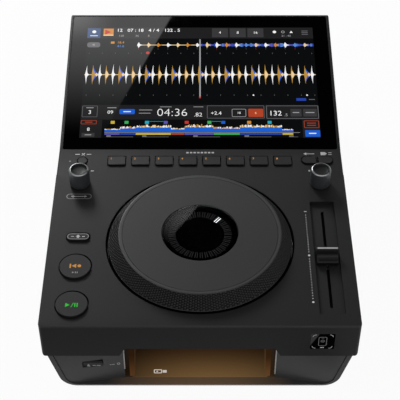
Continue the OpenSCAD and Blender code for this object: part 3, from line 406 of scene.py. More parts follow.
def plane(origin, across=(1, 0, 0), up=(0, 1, 0)):
    """Places a drawing in millimetres on a flat face: its origin, and the directions of its x and y."""
    across, up = Vector(across).normalized(), Vector(up).normalized()
    turn = Matrix((across, up, across.cross(up))).transposed().to_4x4()
    return Matrix.Translation(Vector(origin) / 1000) @ turn @ Matrix.Scale(0.001, 4)


def numerals(name, writing, height):
    """A mesh of plain numerals that stand this high."""
    text = bpy.data.curves.new(name, "FONT")
    text.body, text.size = writing["text"], writing["size"]
    text.align_x, text.align_y = writing.get("align", "CENTER"), "CENTER"
    text.resolution_u = 3
    text.offset = writing.get("weight", 0.0)
    text.extrude = height / 2
    writer = placed(name, text)
    bpy.context.view_layer.update()
    mesh = bpy.data.meshes.new_from_object(writer.evaluated_get(bpy.context.evaluated_depsgraph_get()))
    mesh.transform(Matrix.Translation((writing["x"], writing["y"], height / 2)))
    bpy.data.objects.remove(writer)
    return mesh


def band(build, near, far):
    """Joins two rings that have as many points."""
    for i in range(len(near)):
        j = (i + 1) % len(near)
        build.faces.new((near[i], near[j], far[j], far[i]))


def made(name, build, finishes, place=Matrix(), sharp=None):
    """Makes a piece of a bmesh. Its faces are smooth, but for edges past the sharp angle, if there is one."""
    bmesh.ops.recalc_face_normals(build, faces=build.faces)
    mesh = bpy.data.meshes.new(name)
    build.to_mesh(mesh)
    build.free()
    mesh.transform(place)
    if sharp:
        mesh.polygons.foreach_set("use_smooth", [True] * len(mesh.polygons))
        mesh.set_sharp_from_angle(angle=sharp)
    for finish in finishes:
        mesh.materials.append(finish)
    return placed(name, mesh)


def printed(name, body, place, thick, finishes, shapes):
    """Ink or light on a face: thin solids from outlines. A shape is its finish's number, or a pair of that and
    a layer, and then an outline, with a second outline for a frame, or a dictionary for numerals."""
    build = bmesh.new()
    for number, outline, *inner in shapes:
        number, layer = number if isinstance(number, tuple) else (number, 0)
        height = thick + layer * 0.008
        before = len(build.faces)
        if isinstance(outline, dict):
            build.from_mesh(numerals(name, outline, height))
        else:
            rings = [[[build.verts.new((x, y, z)) for x, y in loop] for z in (0.0, height)]
                     for loop in (outline, *inner)]
            for low, high in rings:
                band(build, low, high)
            if inner:
                for outer_ring, inner_ring in zip(*rings):
                    band(build, outer_ring, inner_ring)
            else:
                for ring in rings[0]:
                    build.faces.new(ring)
        build.faces.ensure_lookup_table()
        for face in build.faces[before:]:
            face.material_index = number
    piece = made(name, build, finishes, place)
    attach(piece, body)
    return piece


def ink(name, colour):
    """Pad-printed ink: a little uneven in cover and gloss."""
    material, root = new_finish(name, {"IOR": 1.45})
    cover = noise(root, 0.35)
    return coat(material, {"Base Color": tinted(colour, cover * 0.2 + 0.9), "Roughness": cover * 0.2 + 0.4})


white_ink = ink("white_ink", (0.56, 0.56, 0.56))
grey_ink = ink("grey_ink", (0.20, 0.20, 0.20))
eject_low, eject_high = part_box("eject_button")
eject_mid = (eject_low + eject_high) * 500
eject_face = plane((eject_mid.x + 0.6, eject_low.y * 1000 - 0.04, eject_mid.z - 2.3), up=(0, 0, 1))
printed("eject_symbol", "eject_key", eject_face, 0.04, [white_ink],
        [(0, arrow(-4.2, 0.3, 1.1, 90)), (0, bar(-5.5, -1.7, -2.9, -1.1)), (0, bar(-0.8, -0.5, 1.6, 0.1)),
         (0, bar(2.4, -0.5, 5.4, 0.1))])

front = -183.5                           # the cover's front face
fascia_x, fascia_y = 106, front + 4.8    # each fascia's outer edge
turn_back = math.atan2(6.2, 44.5)        # how far it turns back towards the bay


def on_fascia(x, z, proud):
    """The plane of a fascia's sloping face at x and z."""
    y = fascia_y + (fascia_x - abs(x)) * math.tan(turn_back) - proud
    return plane((x, y, z), (math.cos(turn_back), math.copysign(math.sin(turn_back), -x), 0), (0, 0, 1))


printed("bay_mark", "case", on_fascia(-69.6, 24.0, 0.05), 0.04, [white_ink],
        [(0, bar(-3.6, -0.25, -2.2, 0.35)), (0, bar(-1.8, -0.25, 0.4, 0.35)),
         (0, disc(3.6, 0.3, 1.25), disc(3.6, 0.3, 0.85))])
# Pale grey strips along the fascias' inner edges: a painted highlight on the edges' rounding.
for side, name, foot in ((-1, "left", 16.5), (1, "right", 9.5)):
    edge_highlight_grey = moulded(name + "_edge_highlight_grey", (0.52, 0.51, 0.50), 0.4)
    printed(name + "_bay_edge_highlight", "case", on_fascia(side * 61.4, 0.0, 0.02), 0.25, [edge_highlight_grey],
            [(0, bar(-0.45, foot, 0.45, 57.0, 0.43))])

# ---- Media bay ----------------------------------------------------------
# A moulded liner with an open front, lit from two frosted acrylic guides in
# its jambs, with more of their light painted into its glow. Three sockets sit in
# its back wall on a board of their own.


def bay_light(root):
    """How the guides' light, painted into the liner's glow, falls on it: strongest low in its middle, and faint
    outside the guides.
    """
    x, z = position(root, "XZ")
    off = x - 0.008
    middle = (1 - off * off * 169).maths("MAXIMUM", 0.1)
    between_guides = x.maths("ABSOLUTE").step(0.0545, 0.0565, 1.0, 0.30)
    return middle * z.step(0.004, 0.050, 1.0, 0.25) * between_guides


liner_abs = moulded("liner_abs", (0.020, 0.012, 0.008), 0.5, grain=0.6, depth=0.015)
dress(glowing(liner_abs, bay_light, (0.150, 0.083, 0.030), (0.024, 0.0108, 0.0045)), "bay_liner", edges=0.3)


def lit_acrylic():
    """Frosted amber acrylic, brightest at its foot, where the lamp's light enters, and on the right."""
    material, root = new_finish("amber_guide", {"IOR": 1.49, "Emission Strength": 1.0, "Specular IOR Level": 0.0})
    across, height = position(root, "XZ")
    light = height.step(0.004, 0.036, 1.0, 0.18) * across.step(-0.05, 0.05, 0.78, 1.12)
    frost = noise(root, 0.6)
    cloudy = frost * 0.2 + 0.9
    return coat(material, {"Base Color": tinted((0.030, 0.012, 0.004), cloudy), "Roughness": frost * 0.2 + 0.35,
                           "Emission Color": tinted((0.090, 0.040, 0.015), light * cloudy)})


dress(lit_acrylic(), "bay_light_guides", edges=0.3)
dress(metal("socket_steel", (0.62, 0.63, 0.65), 0.25), "usb_sockets", edges=0.2)


def lit(name, colour, strength=1.0):
    """A lit part of a display: an even glow, with the slight cloudiness of its backlight, under a gloss face."""
    material, root = new_finish(name, {"Base Color": (0.002, 0.002, 0.002, 1), "IOR": 1.5,
                                       "Emission Strength": strength})
    cloud = noise(root, 5, 1.0)
    return coat(material, {"Emission Color": tinted(colour, cloud * 0.16 + 0.92),
                           "Roughness": cloud * 0.02 + 0.008})


# The symbol printed on the bay's floor glows: painted light for the bay's light falling on it.
bay_floor = plane((-32.7, front + 16.2, 6.0))
printed("stick_symbol", "case", bay_floor, 0.05, [lit("bay_print_glow", (0.55, 0.50, 0.45))],
        [(0, bar(-5.4, -2.0, 1.4, 2.0, 0.8), bar(-4.6, -1.2, 0.6, 1.2, 0.3)), (0, bar(1.9, -1.3, 5.2, 1.3, 0.3)),
         (0, disc(-2.6, 0, 0.7))])

# ---- Rear panel, sockets and power key ----------------------------------
# A powder-coated steel panel over a socket board: mains inlet, power key,
# network socket and two line jacks with plated sleeves.

dress(moulded("powder_coat", (0.022, 0.022, 0.023), 0.6, grain=0.7, depth=0.05, uneven=0.2),
      "rear_panel", edges=0.3)
dress(metal("nickel_plate", (0.60, 0.60, 0.61), 0.22), "rear_jacks", edges=0.2)
dress(moulded("inlet_plastic", (0.014, 0.014, 0.015), 0.38, grain=0.5, depth=0.01), "ac_inlet", edges=0.4)
dress(key_abs, "power_button", edges=0.4)


def bent_bar(x, y, inner, outer, start, end, step=15):
    """Outline of a bar that is bent along an arc."""
    return arc(x, y, outer, start, end, step) + arc(x, y, inner, end, start, step)


power_low, power_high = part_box("power_button")
power_face = plane(((power_low.x + power_high.x) * 500, power_high.y * 1000 + 0.005,
                    (power_low.z + power_high.z) * 500), (-1, 0, 0), (0, 0, 1))
printed("power_symbol", "power_key", power_face, 0.04, [white_ink],
        [(0, bent_bar(0, -0.2, 1.7, 2.2, 50, -230, 10)), (0, bar(-0.25, 0.2, 0.25, 2.3))])

# ---- Top cover ----------------------------------------------------------
# One moulding in fine-grained black ABS: deck, screen bed, front lip and
# sides, with a soft radius along the front edge. Symbols are pad-printed.


def painted_edge_highlights(root):
    """The cover's front edge and the screen's left border, painted paler as highlights."""
    x, y, z = position(root, "XYZ")
    front_edge = y.step(-0.1825, -0.1821, 1.0, 0.0) * z.step(0.0826, 0.0830) * 1.1
    border = x.step(-0.1245, -0.1242) * x.step(-0.1233, -0.1230, 1.0, 0.0) * y.step(0.018, 0.024) * 2.4
    return front_edge + border + 1


cover_abs = moulded("cover_abs", (0.0150, 0.0150, 0.0153), 0.50, grain=0.45, depth=0.018, specular=0.13,
                    lighter=painted_edge_highlights)
dress(cover_abs, "top_cover", edges=0.3)
deck_z = 84.5
deck = plane((0, front, deck_z))         # its y is measured back from the front face

# The slider's scale: fine dots on both sides of a large one, ended by a bar and a dot
scale_x, scale_y = 88.8, 74.1
scale_marks = [(0, bar(scale_x - 1.1, 123.7, scale_x + 1.1, 124.4))]
scale_marks += [(0, disc(scale_x, scale_y + side * (3.9 + 2.79 * i), 0.45, 12))
                for side in (-1, 1) for i in range(16)]
scale_marks += [(0, disc(scale_x, scale_y, 1.0)), (0, disc(scale_x, 24.6, 0.9))]
printed("tempo_scale", "case", deck, 0.03, [ink("scale_ink", (0.80, 0.80, 0.80))], scale_marks)

# Symbols by the keys and knobs, and a framed one on the left
cross_arm = [(1.9, 0.35), (0.35, 0.35), (0.35, 1.9)]
delete_cross = [point for angle in (45, 135, 225, 315) for point in turned_by(angle, -103.3, 195.0, cross_arm)]
tag_label = [(106.8, 193.9), (110.6, 193.9), (112.4, 195.9), (110.6, 197.9), (106.8, 197.9)]
printed("deck_symbols", "case", deck, 0.03, [white_ink, grey_ink], [
    (0, delete_cross), (0, bar(-110.4, 194.6, -106.4, 195.4)), (0, bar(-100.2, 194.6, -96.2, 195.4)),
    *[(0, bar(-12.2 + i * 3.2, 196.3, -10.0 + i * 3.2, 198.1, 0.5)) for i in range(8)],
    (0, arrow(92.9, 195.6, 1.7, 180)), (0, bar(94.2, 195.2, 101.2, 196.0)),
    (0, tag_label), (0, bar(113.6, 194.4, 116.6, 195.1)), (0, bar(113.6, 196.7, 116.6, 197.4)),
    (0, disc(95.4, 173.9, 0.85)), (0, bar(-95.4, 173.3, -92.6, 174.3, 0.4)),
    (1, bar(-114.1, 139.1, -92.5, 145.3, 3.05), bar(-113.4, 139.8, -93.2, 144.6, 2.35)),
    (0, bar(-108.6, 141.8, -98.0, 142.5)), (0, arrow(-97.6, 142.15, 1.3)), (0, arrow(-109.0, 142.15, 1.3, 180))])
printed("delete_lamp", "case", deck, 0.05, [ink("lamp_lens", (0.10, 0.10, 0.11))],
        [(0, disc(-114.4, 186.0, 0.9))])

# ---- Reader window ------------------------------------------------------
# A polished black insert flush in the lip, over the card reader's aerial,
# with corner marks and a small pictogram printed behind its face.


def polished(name, colour, rough=0.04):
    """Hard gloss plastic or painted glass, with the faint smears that handling leaves."""
    material, root = new_finish(name, {"IOR": 1.5})
    smears = noise(root, 18, 4.0)
    return coat(material, {"Base Color": tinted(colour, smears * 0.3 + 0.85),
                           "Roughness": smears * 0.05 + (rough - 0.02)})


dress(polished("window_gloss", (0.0006, 0.0006, 0.0006), 0.02), "nfc_window", edges=0.15)
window = plane((95.7, front - 0.001, 66.1), up=(0, 0, 1))
window_shapes = [(0, bent_bar(x, y, 2.35, 2.9, start, end)) for x, y, start, end in (
    (5.2, 5.7, 0, 90), (-5.2, 5.7, 180, 90), (-5.2, -5.7, 180, 270), (5.2, -5.7, 0, -90))]
window_shapes += [
    (1, bar(-3.3, -5.3, 3.3, 5.6, 1.3), bar(-2.8, -4.8, 2.8, 5.1, 0.9)), (1, bar(-1.0, 3.9, 1.0, 4.3)),
    (0, bar(-1.6, -8.0, 1.6, -7.0, 0.4)), (1, disc(0, 0.6, 1.6), disc(0, 0.6, 1.1)), (1, disc(0, 0.6, 0.4))]
printed("window_marks", "case", window, 0.03, [white_ink, grey_ink], window_shapes)

# ---- Jog wheel ----------------------------------------------------------
# A painted aluminium plate in a ring with a moulded diamond knurl, turning
# on a ball bearing round a fixed clear lens. The display under the lens
# shows seventy-two ticks and one bright hand. A black ring at the well's edge
# is painted shade for the gap between the wheel and the deck.


def turned(name, profile, centre, steps, finishes, tone=lambda i: 0, lobes=lambda angle, r, z: (r, z)):
    """A piece turned from a profile of radius and height in millimetres about a centre. Where a radius is 0
    the profile ends on the axis. tone gives the finish of the profile's bands, and lobes moves its points."""
    build = bmesh.new()
    columns = []
    for step in range(steps):
        angle = math.tau * step / steps
        column = []
        for radius, height in profile:
            if radius == 0 and step:
                column.append(columns[0][len(column)])
                continue
            r, z = lobes(angle, radius, height)
            point = (centre[0] + r * math.cos(angle), centre[1] + r * math.sin(angle), centre[2] + z)
            column.append(build.verts.new([value / 1000 for value in point]))
        columns.append(column)
    closed = profile[0][0] > 0
    for near, far in zip(columns, columns[1:] + columns[:1]):
        for i in range(len(profile) if closed else len(profile) - 1):
            j = (i + 1) % len(profile)
            corners = dict.fromkeys((near[i], far[i], far[j], near[j]))
            if len(corners) > 2:
                build.faces.new(list(corners)).material_index = tone(i)
    return made(name, build, finishes, sharp=0.6)


jog_centre = (0, -93.5, deck_z)
plate_r, skirt_r, well_r = 66.6, 75.5, 77.3
knurl_columns, knurl_rows, knurl_depth = 216, 6.5, 0.95
slope_start, slope_end = (66.8, 10.8), (skirt_r, 0.3)
slope_length = math.dist(slope_start, slope_end)
slope_out = ((slope_start[1] - slope_end[1]) / slope_length, (slope_end[0] - slope_start[0]) / slope_length)


def knurl(angle, radius, height):
    """Sinks the grip's grooves into the ring's slope: radial ribs, cut across by notches that are staggered
    from one rib to the next."""
    along = (radius - slope_start[0]) / (slope_end[0] - slope_start[0])
    on_slope = abs(height - slope_start[1] - along * (slope_end[1] - slope_start[1])) < 0.01
    if not on_slope or not 0.001 < along < 0.98:
        return radius, height
    column, row = angle / math.tau * knurl_columns + 1e-6, along * knurl_rows
    across = 1 - abs(2 * (column % 1) - 1)
    down = 1 - abs(2 * ((row + 0.5 * (int(column) % 2)) % 1) - 1)
    ends = min(1.0, 30 * along, 30 * (0.98 - along))
    sink = knurl_depth * ends * (0.52 * (1 - min(1.0, 1.5 * across)) + 0.48 * (1 - min(1.0, 1.5 * down)))
    return radius - slope_out[0] * sink, height - slope_out[1] * sink


fine = round(6 * knurl_rows)
ring_profile = [(plate_r - 2, 9.5), (plate_r, 9.5), (plate_r, 10.9), (plate_r - 0.85, 10.98),
                (plate_r - 0.8, 11.03), (plate_r - 0.1, 11.0)]
ring_profile += [(slope_start[0] + (slope_end[0] - slope_start[0]) * i / fine,
                  slope_start[1] + (slope_end[1] - slope_start[1]) * i / fine) for i in range(fine + 1)]
ring_profile += [(skirt_r, -6.0), (skirt_r - 2.4, -6.0), (skirt_r - 2.4, -0.7), (plate_r - 2, 7.9)]
ring_abs = moulded("ring_abs", (0.0065, 0.0065, 0.0067), 0.40, grain=0.35, depth=0.008, specular=0.18)
lip_paint = moulded("lip_paint", (0.036, 0.036, 0.0365), 0.42, grain=0.3, depth=0.006, specular=0.2)
lens_mask = moulded("lens_mask", (0.001, 0.001, 0.001), 0.9, depth=0.0, specular=0.0)
jog_grip = turned("jog_grip_ring", ring_profile, jog_centre, 8 * knurl_columns,
                  [ring_abs, lip_paint, lens_mask],
                  lambda i: 1 if 2 <= i < 6 else 2 if i > 5 + fine else 0, knurl)
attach(jog_grip, "jog_wheel")
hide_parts("jog_ring")

# Black ring round the jog's well: painted shade of the gap between wheel and deck.
shade_paint = moulded("black_shade_paint", (0.002, 0.002, 0.002), 0.9, grain=0.4, depth=0.05, specular=0.0)
well_gap_shadow = turned("jog_well_gap_shadow", [(well_r - 0.9, -4.0), (well_r - 0.02, -4.0), (well_r - 0.02, 0.02),
                                     (well_r + 0.4, 0.02), (well_r + 0.35, 0.09), (well_r - 0.85, 0.09)],
                   jog_centre, 180, [shade_paint])
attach(well_gap_shadow, "case")


def spun_paint():
    """Matt grey paint on pressed aluminium, with the fine rings of its spinning just showing through. It is
    paler on the plate's edge, and painted almost black on its hub, round the lens, as shade on the wall of its
    hole."""
    material, root = new_finish("spun_paint", {"IOR": 1.45, "Specular IOR Level": 0.20})
    x, y = position(root, "XY")
    back = y - jog_centre[1] / 1000
    radius = (x * x + back * back).maths("SQRT")
    rings = (radius * (math.tau / 0.0006)).maths("SINE") * 0.5 + 0.5
    rim_tone_and_hole_shade = radius.step(0.0637, 0.0640) - radius.step(0.0314, 0.0316, 1.2, 0.0)
    skin = noise(root, 0.3, 3.0)
    shade = skin * 0.12 + rings * 0.04 + rim_tone_and_hole_shade * 0.7 + 0.92
    return coat(material, {"Base Color": tinted((0.0285, 0.0285, 0.0288), shade),
                           "Roughness": skin * 0.1 - rim_tone_and_hole_shade * 0.06 + 0.46,
                           "Normal": bumped(root, skin + rings * 0.3, 0.006)})


dress(spun_paint(), "jog_top_plate")
dress(moulded("inner_plastic", (0.02, 0.02, 0.02), 0.5), "jog_hub", "jog_encoder_disc", "jog_encoder_sensor")
dress(lens_mask, "jog_display_post", "jog_display_panel")
dress(metal("bearing_steel", (0.62, 0.63, 0.65), 0.15),
      "jog_bearing_outer", "jog_bearing_inner", "jog_bearing_balls")
sheet_steel = metal("sheet_steel", (0.50, 0.51, 0.53), 0.38, (1, 0.15, 1))
dress(sheet_steel, "jog_base_frame", edges=0.3)


def clear_lens():
    """Clear polycarbonate with a coat that dulls its reflections, and a faint handling haze."""
    material, root = new_finish("clear_lens", {"IOR": 1.38, "Transmission Weight": 1.0,
                                               "Base Color": (0.9, 0.9, 0.92, 1)})
    return coat(material, {"Roughness": noise(root, 12, 4.0) * 0.02})


dress(clear_lens(), "jog_lens")
lens_low, lens_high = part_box("jog_lens")
lens_r, lens_z = (lens_high.x - lens_low.x) * 500, lens_low.z * 1000 - deck_z
border = turned("lens_border", [(lens_r - 2.6, lens_z - 0.12), (lens_r - 0.3, lens_z - 0.12),
                                (lens_r - 0.1, lens_z - 0.06), (lens_r - 0.3, lens_z - 0.02),
                                (lens_r - 2.6, lens_z - 0.02)], jog_centre, 96, [lens_mask])
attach(border, "case")


def tick(angle, r0, r1, half, shift=0.0):
    """Outline of a radial bar on the dial."""
    sine, cosine = math.sin(angle), math.cos(angle)
    return [(r * sine + w * cosine, r * cosine - w * sine)
            for r, w in ((r0, shift - half), (r1, shift - half), (r1, shift + half), (r0, shift + half))]


dial = plane((0, jog_centre[1], deck_z + 7.2))
tick_shapes = [(0, tick(math.radians(5 * i + (0.35 if i % 2 else -0.35)), 19.9, 25.9, 0.21)) for i in range(72)]
tick_shapes += [(1, tick(math.radians(41), 18.8, 25.2, 0.36, shift)) for shift in (-0.92, 0.92)]
printed("jog_display_ticks", "case", dial, 0.05,
        [lit("dim_ticks", (0.036, 0.036, 0.037)), lit("bright_hand", (0.95, 0.95, 0.97), 1.5)], tick_shapes)

# ---- Tempo slider -------------------------------------------------------
# A plate at the bottom of a long well, a slotted body under it, and a cap
# whose ends sweep up to one tall fin. A silver line crosses the crest.

dress(moulded("well_plate", (0.014, 0.014, 0.0145), 0.5), "fader_plate")
dress(moulded("slider_body", (0.006, 0.006, 0.006), 0.7, specular=0.1), "fader_body")
dress(sheet_steel, "fader_lever")
cap_low, cap_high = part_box("fader_cap")
fader_x, fader_y = (cap_low.x + cap_high.x) * 500, scale_y + front
cap_right = [(8.5, -2.2), (8.8, -1.9), (8.8, 0.1), (8.7, 0.6), (8.3, 1.1), (7.6, 1.3), (6.6, 1.4), (5.6, 1.55),
             (4.6, 1.9), (3.6, 2.35), (2.7, 3.0), (2.25, 4.6), (2.1, 6.2), (1.7, 7.9), (1.3, 8.6), (1.0, 8.8)]
cap_profile = cap_right + [(-y, z) for y, z in reversed(cap_right)]
cap_half = 8.7
build = bmesh.new()
cap_rings = [[build.verts.new(((fader_x + x) / 1000, (fader_y + y) / 1000, (deck_z + z) / 1000))
              for y, z in cap_profile] for x in (-cap_half, cap_half)]
band(build, *cap_rings)
for ring in cap_rings:
    build.faces.new(ring)
cap_satin = moulded("cap_satin", (0.008, 0.008, 0.0083), 0.42, grain=0.3, depth=0.006, specular=0.12)
tempo_cap = made("tempo_cap", build, [cap_satin], sharp=0.8)
cap_bevel = tempo_cap.modifiers.new("soft_ends", "BEVEL")
cap_bevel.width, cap_bevel.segments = 0.0005, 3
cap_bevel.limit_method, cap_bevel.angle_limit = "ANGLE", 1.2
cap_bevel.harden_normals = True
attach(tempo_cap, "tempo_slider")
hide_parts("fader_cap")
cap_top = plane((fader_x, fader_y, deck_z + 8.79))
printed("tempo_line", "tempo_slider", cap_top, 0.04, [metal("silver_line", (0.40, 0.40, 0.40), 0.4)],
        [(0, bar(-cap_half + 0.4, -0.75, cap_half - 0.4, 0.75))])

# ---- Knobs --------------------------------------------------------------
# Two turned knobs: a satin blue-grey barrel, a bright diamond-cut bevel and
# a dished, darker top. They push on to flatted shafts and click when pressed.


def barrel_paint():
    """Satin blue-grey paint with a faint turned grain running round it."""
    material, root = new_finish("knob_barrel", {"IOR": 1.5, "Metallic": 0.35})
    height = position(root, "Z")[0]
    rings = (height * (math.tau / 0.0004)).maths("SINE") * 0.5 + 0.5
    skin = noise(root, 0.5)
    return coat(material, {"Base Color": tinted((0.058, 0.063, 0.070), skin * 0.2 + 0.9),
                           "Roughness": skin * 0.1 + 0.34, "Normal": bumped(root, rings, 0.006)})


knob_paint = barrel_paint()
knob_bevel = metal("cut_bevel", (0.16, 0.165, 0.17), 0.30)
knob_top = moulded("knob_top", (0.0045, 0.005, 0.0055), 0.42, grain=0.6, specular=0.12)
knob_profile = [(0, 2.4), (4.5, 2.4), (4.5, 0.8), (8.15, 0.8), (8.6, 0.95), (8.78, 1.3), (8.78, 5.0), (8.74, 10.0),
                (8.66, 15.2), (8.6, 15.8), (8.4, 16.35), (8.0, 16.75), (7.5, 16.95), (7.2, 17.0), (6.6, 17.0),
                (6.4, 16.9), (6.05, 16.3), (5.8, 15.9), (5.0, 15.65), (3.0, 15.45), (0, 15.4)]
bevel_starts, top_starts = 10, 13        # the profile's bands where the other two finishes start


def knob_tone(i):
    """Which of the knob's finishes a band of its profile has."""
    return 0 if i < bevel_starts else 1 if i < top_starts else 2


for name in ("selector", "loop"):
    low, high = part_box(name + "_knob")
    knob = turned(name + "_knob_turned", knob_profile, ((low.x + high.x) * 500, (low.y + high.y) * 500, deck_z),
                  128, [knob_paint, knob_bevel, knob_top], knob_tone)
    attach(knob, name)
    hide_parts(name + "_knob")
dress(metal("turned_shaft", (0.5, 0.5, 0.5), 0.3), "selector_shaft", "loop_shaft")
dress(sheet_steel, "selector_encoder", "loop_encoder")
dress(moulded("plunger_plastic", (0.35, 0.35, 0.3), 0.5), "selector_plunger", "loop_plunger")

# ---- Keys ---------------------------------------------------------------
# Satin keys, each with a flange under the deck and a stem over its switch:
# eight pads in a row, three small ones beside them, and the large round ones.

pad_abs = moulded("pad_abs", (0.0125, 0.0125, 0.0128), 0.45, grain=0.3, depth=0.01)
pads = ["hot_cue_button_%d" % i for i in range(1, 9)]
dress(pad_abs, *pads, edges=0.35, segments=3)
round_keys = ["cue_button", "play_button", "shift_button", "delete_button", "back_button", "tag_button"]
dress(key_abs, *round_keys, edges=0.45, segments=3)
orange_ink = lit("orange_legend", (0.50, 0.20, 0.012), 0.9)
green_ink = lit("green_legend", (0.02, 0.50, 0.03), 0.9)


def rear_gap_shadow(name, proud, outline):
    """A black strip along the rear of a key's hole, which is 1 mm inside its flange: painted shadow of the gap
    behind the key. It is wider for a key that stands further proud."""
    low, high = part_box(name)
    rear = [(x, y) for x, y in outline((high.x - low.x) * 500 - 1.0, (high.y - low.y) * 500 - 1.0) if y > 0.02]
    rear.sort(key=lambda point: -math.atan2(point[1], point[0]))
    middle = ((low.x + high.x) / 2, (low.y + high.y) / 2, deck_z / 1000)
    place = Matrix.Translation(middle) @ Matrix.Scale(0.001, 4)
    gap_shadow = rear + [(x, y + proud - 0.1) for x, y in reversed(rear)]
    printed(name.replace("button", "gap_shadow"), "case", place, 0.03, [shade_paint], [(0, gap_shadow)])


for name in pads:
    rear_gap_shadow(name, 1.5, lambda half_w, half_d: bar(-half_w, -half_d, half_w, half_d, 0.8))
for name in ("cue_button", "play_button"):
    rear_gap_shadow(name, 2.0, lambda half_w, half_d: disc(0, 0, half_w, 72))
for name, proud in (("shift_button", 2.0), ("delete_button", 1.5), ("back_button", 1.5), ("tag_button", 1.5)):
    rear_gap_shadow(name, proud, lambda half_w, half_d: bar(-half_w, -half_d, half_w, half_d, half_d - 0.01))


def key_top(name):
    """The plane of a key's face, its origin in the middle."""
    low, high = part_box(name)
    return plane(((low.x + high.x) * 500, (low.y + high.y) * 500, high.z * 1000 - 0.005))


for i, name in enumerate(pads):
    printed("pad_numeral_%d" % (i + 1), "hot_cue_%d" % (i + 1), key_top(name), 0.03, [orange_ink],
            [(0, {"text": str(i + 1), "size": 3.2, "x": -5.0, "y": 2.2, "weight": 0.06})])
printed("cue_symbol", "cue_key", key_top("cue_button"), 0.03, [orange_ink, grey_ink],
        [(0, bar(-4.4, -2.1, -3.2, 2.3)), (0, arrow(-0.8, 0.1, 2.2, 180)), (0, disc(3.4, 0.1, 1.5)),
         (1, arrow(-1.2, -6.9, 1.0)), (1, bar(0.4, -7.8, 1.1, -6.0)), (1, bar(1.8, -7.8, 2.5, -6.0))])
printed("play_symbol", "play_key", key_top("play_button"), 0.03, [green_ink],
        [(0, arrow(-3.0, -1.2, 2.1)), (0, [(-0.4, -3.4), (0.2, -3.4), (1.9, 1.0), (1.3, 1.0)]),
         (0, bar(2.4, -3.2, 3.3, 0.8)), (0, bar(4.2, -3.2, 5.1, 0.8))])
printed("shift_symbol", "shift_key", key_top("shift_button"), 0.03, [white_ink, grey_ink],
        [(1, bar(-8.9, -3.2, 8.9, 3.2, 3.15), bar(-8.2, -2.5, 8.2, 2.5, 2.45)),
         (0, [(-1.9, -0.1), (1.9, -0.1), (0, 2.0)]), (0, bar(-0.9, -1.7, 0.9, -0.1)),
         (0, bar(-5.6, -0.4, -3.4, 0.3)), (0, bar(3.4, -0.4, 5.6, 0.3))])

# ---- Screen -------------------------------------------------------------
# A black-bordered touch glass bonded over an LCD module on a zinc-plated
# bracket. The picture is made of lit shapes under the same gloss.

dress(polished("touch_glass", (0.0012, 0.0012, 0.0014), 0.02), "screen_glass")
dress(polished("lcd_module", (0.01, 0.01, 0.012), 0.2), "lcd_panel")
dress(zinc, "screen_bracket", edges=0.25)
tilt = math.atan2(26, 166)
glass_top = 0.05
screen = plane((0, front + 201 + glass_top * math.sin(tilt), deck_z - glass_top * math.cos(tilt)),
               up=(0, math.cos(tilt), math.sin(tilt)))
tones = {
    "back": (0.0026, 0.0031, 0.0034), "panel": (0.014, 0.014, 0.015), "button": (0.040, 0.040, 0.042),
    "line": (0.13, 0.13, 0.14), "grey": (0.33, 0.33, 0.34), "white": (0.90, 0.90, 0.90),
    "cream": (0.85, 0.62, 0.34), "orange": (0.62, 0.25, 0.035), "amber": (0.50, 0.27, 0.04),
    "blue": (0.012, 0.115, 0.62), "sky": (0.10, 0.26, 0.66), "deep": (0.020, 0.055, 0.36),
    "slate": (0.035, 0.080, 0.200), "violet": (0.10, 0.09, 0.42), "red": (0.55, 0.035, 0.03),
    "brick": (0.42, 0.055, 0.02), "green": (0.04, 0.42, 0.10), "cyan": (0.02, 0.38, 0.52),
    "yellow": (0.60, 0.45, 0.05)}
tone_at = {name: i for i, name in enumerate(tones)}
picture = []


def draw(tone, *outlines, layer=1):
    """Adds a shape to the picture, over those of lower layers."""
    picture.append(((tone_at[tone], layer), *outlines))


def block(tone, x0, s0, x1, s1, r=0.0, layer=1):
    """Adds a bar to the picture."""
    draw(tone, bar(x0, s0, x1, s1, r), layer=layer)


def write(tone, text, x, s, size, align="LEFT", weight=0.0):
    """Adds plain numerals to the picture, over all else."""
    picture.append(((tone_at[tone], 4),
                    {"text": text, "size": size, "x": x, "y": s, "align": align, "weight": weight}))


def frame_box(tone, x0, s0, x1, s1, width=0.45, r=0.8):
    """Adds an outlined box to the picture."""
    inside = bar(x0 + width, s0 + width, x1 - width, s1 - width, max(r - width, 0.1))
    draw(tone, bar(x0, s0, x1, s1, r), inside, layer=2)


# Head of the picture: cover tile, numbers, three step keys, status dots
side, foot, head = 108.3, 13.8, 150.4
block("back", -side, foot, side, head, layer=-0.5)
block("panel", -side, 136.0, side, head, layer=0)
block("slate", -107.8, 136.6, -95.5, 149.4)
draw("white", disc(-101.6, 144.8, 1.9), layer=2)
block("white", -105.2, 139.2, -98.0, 140.0, layer=2)
block("orange", -92.6, 139.6, -83.0, 149.0)
draw("red", arrow(-88.4, 144.4, 3.4), layer=2)
block("cream", -92.6, 139.6, -83.0, 141.0, layer=3)
write("white", "12   07 : 18   4 / 4   132 . 5", -80.0, 146.6, 5.6, weight=0.05)
for text, x in (("128", -78.0), ("36", -62.0), ("8", -50.0)):
    write("grey", text, x, 139.4, 3.4)
for text, x in (("4", 11.5), ("8", 28.5), ("16", 45.5)):
    block("button", x, 137.6, x + 15.4, 149.4, 0.5)
    write("white", text, x + 7.7, 143.6, 4.4, "CENTER")
draw("white", disc(71.5, 144.6, 1.7))
draw("grey", disc(79.6, 144.6, 1.7), disc(79.6, 144.6, 1.1))
draw("white", arrow(87.6, 144.6, 1.6, 90))
write("grey", "21 : 40", 82.5, 139.4, 3.2, "CENTER")
for s in (141.0, 143.2, 145.4):
    block("line", 97.5, s, 103.5, s + 0.9)

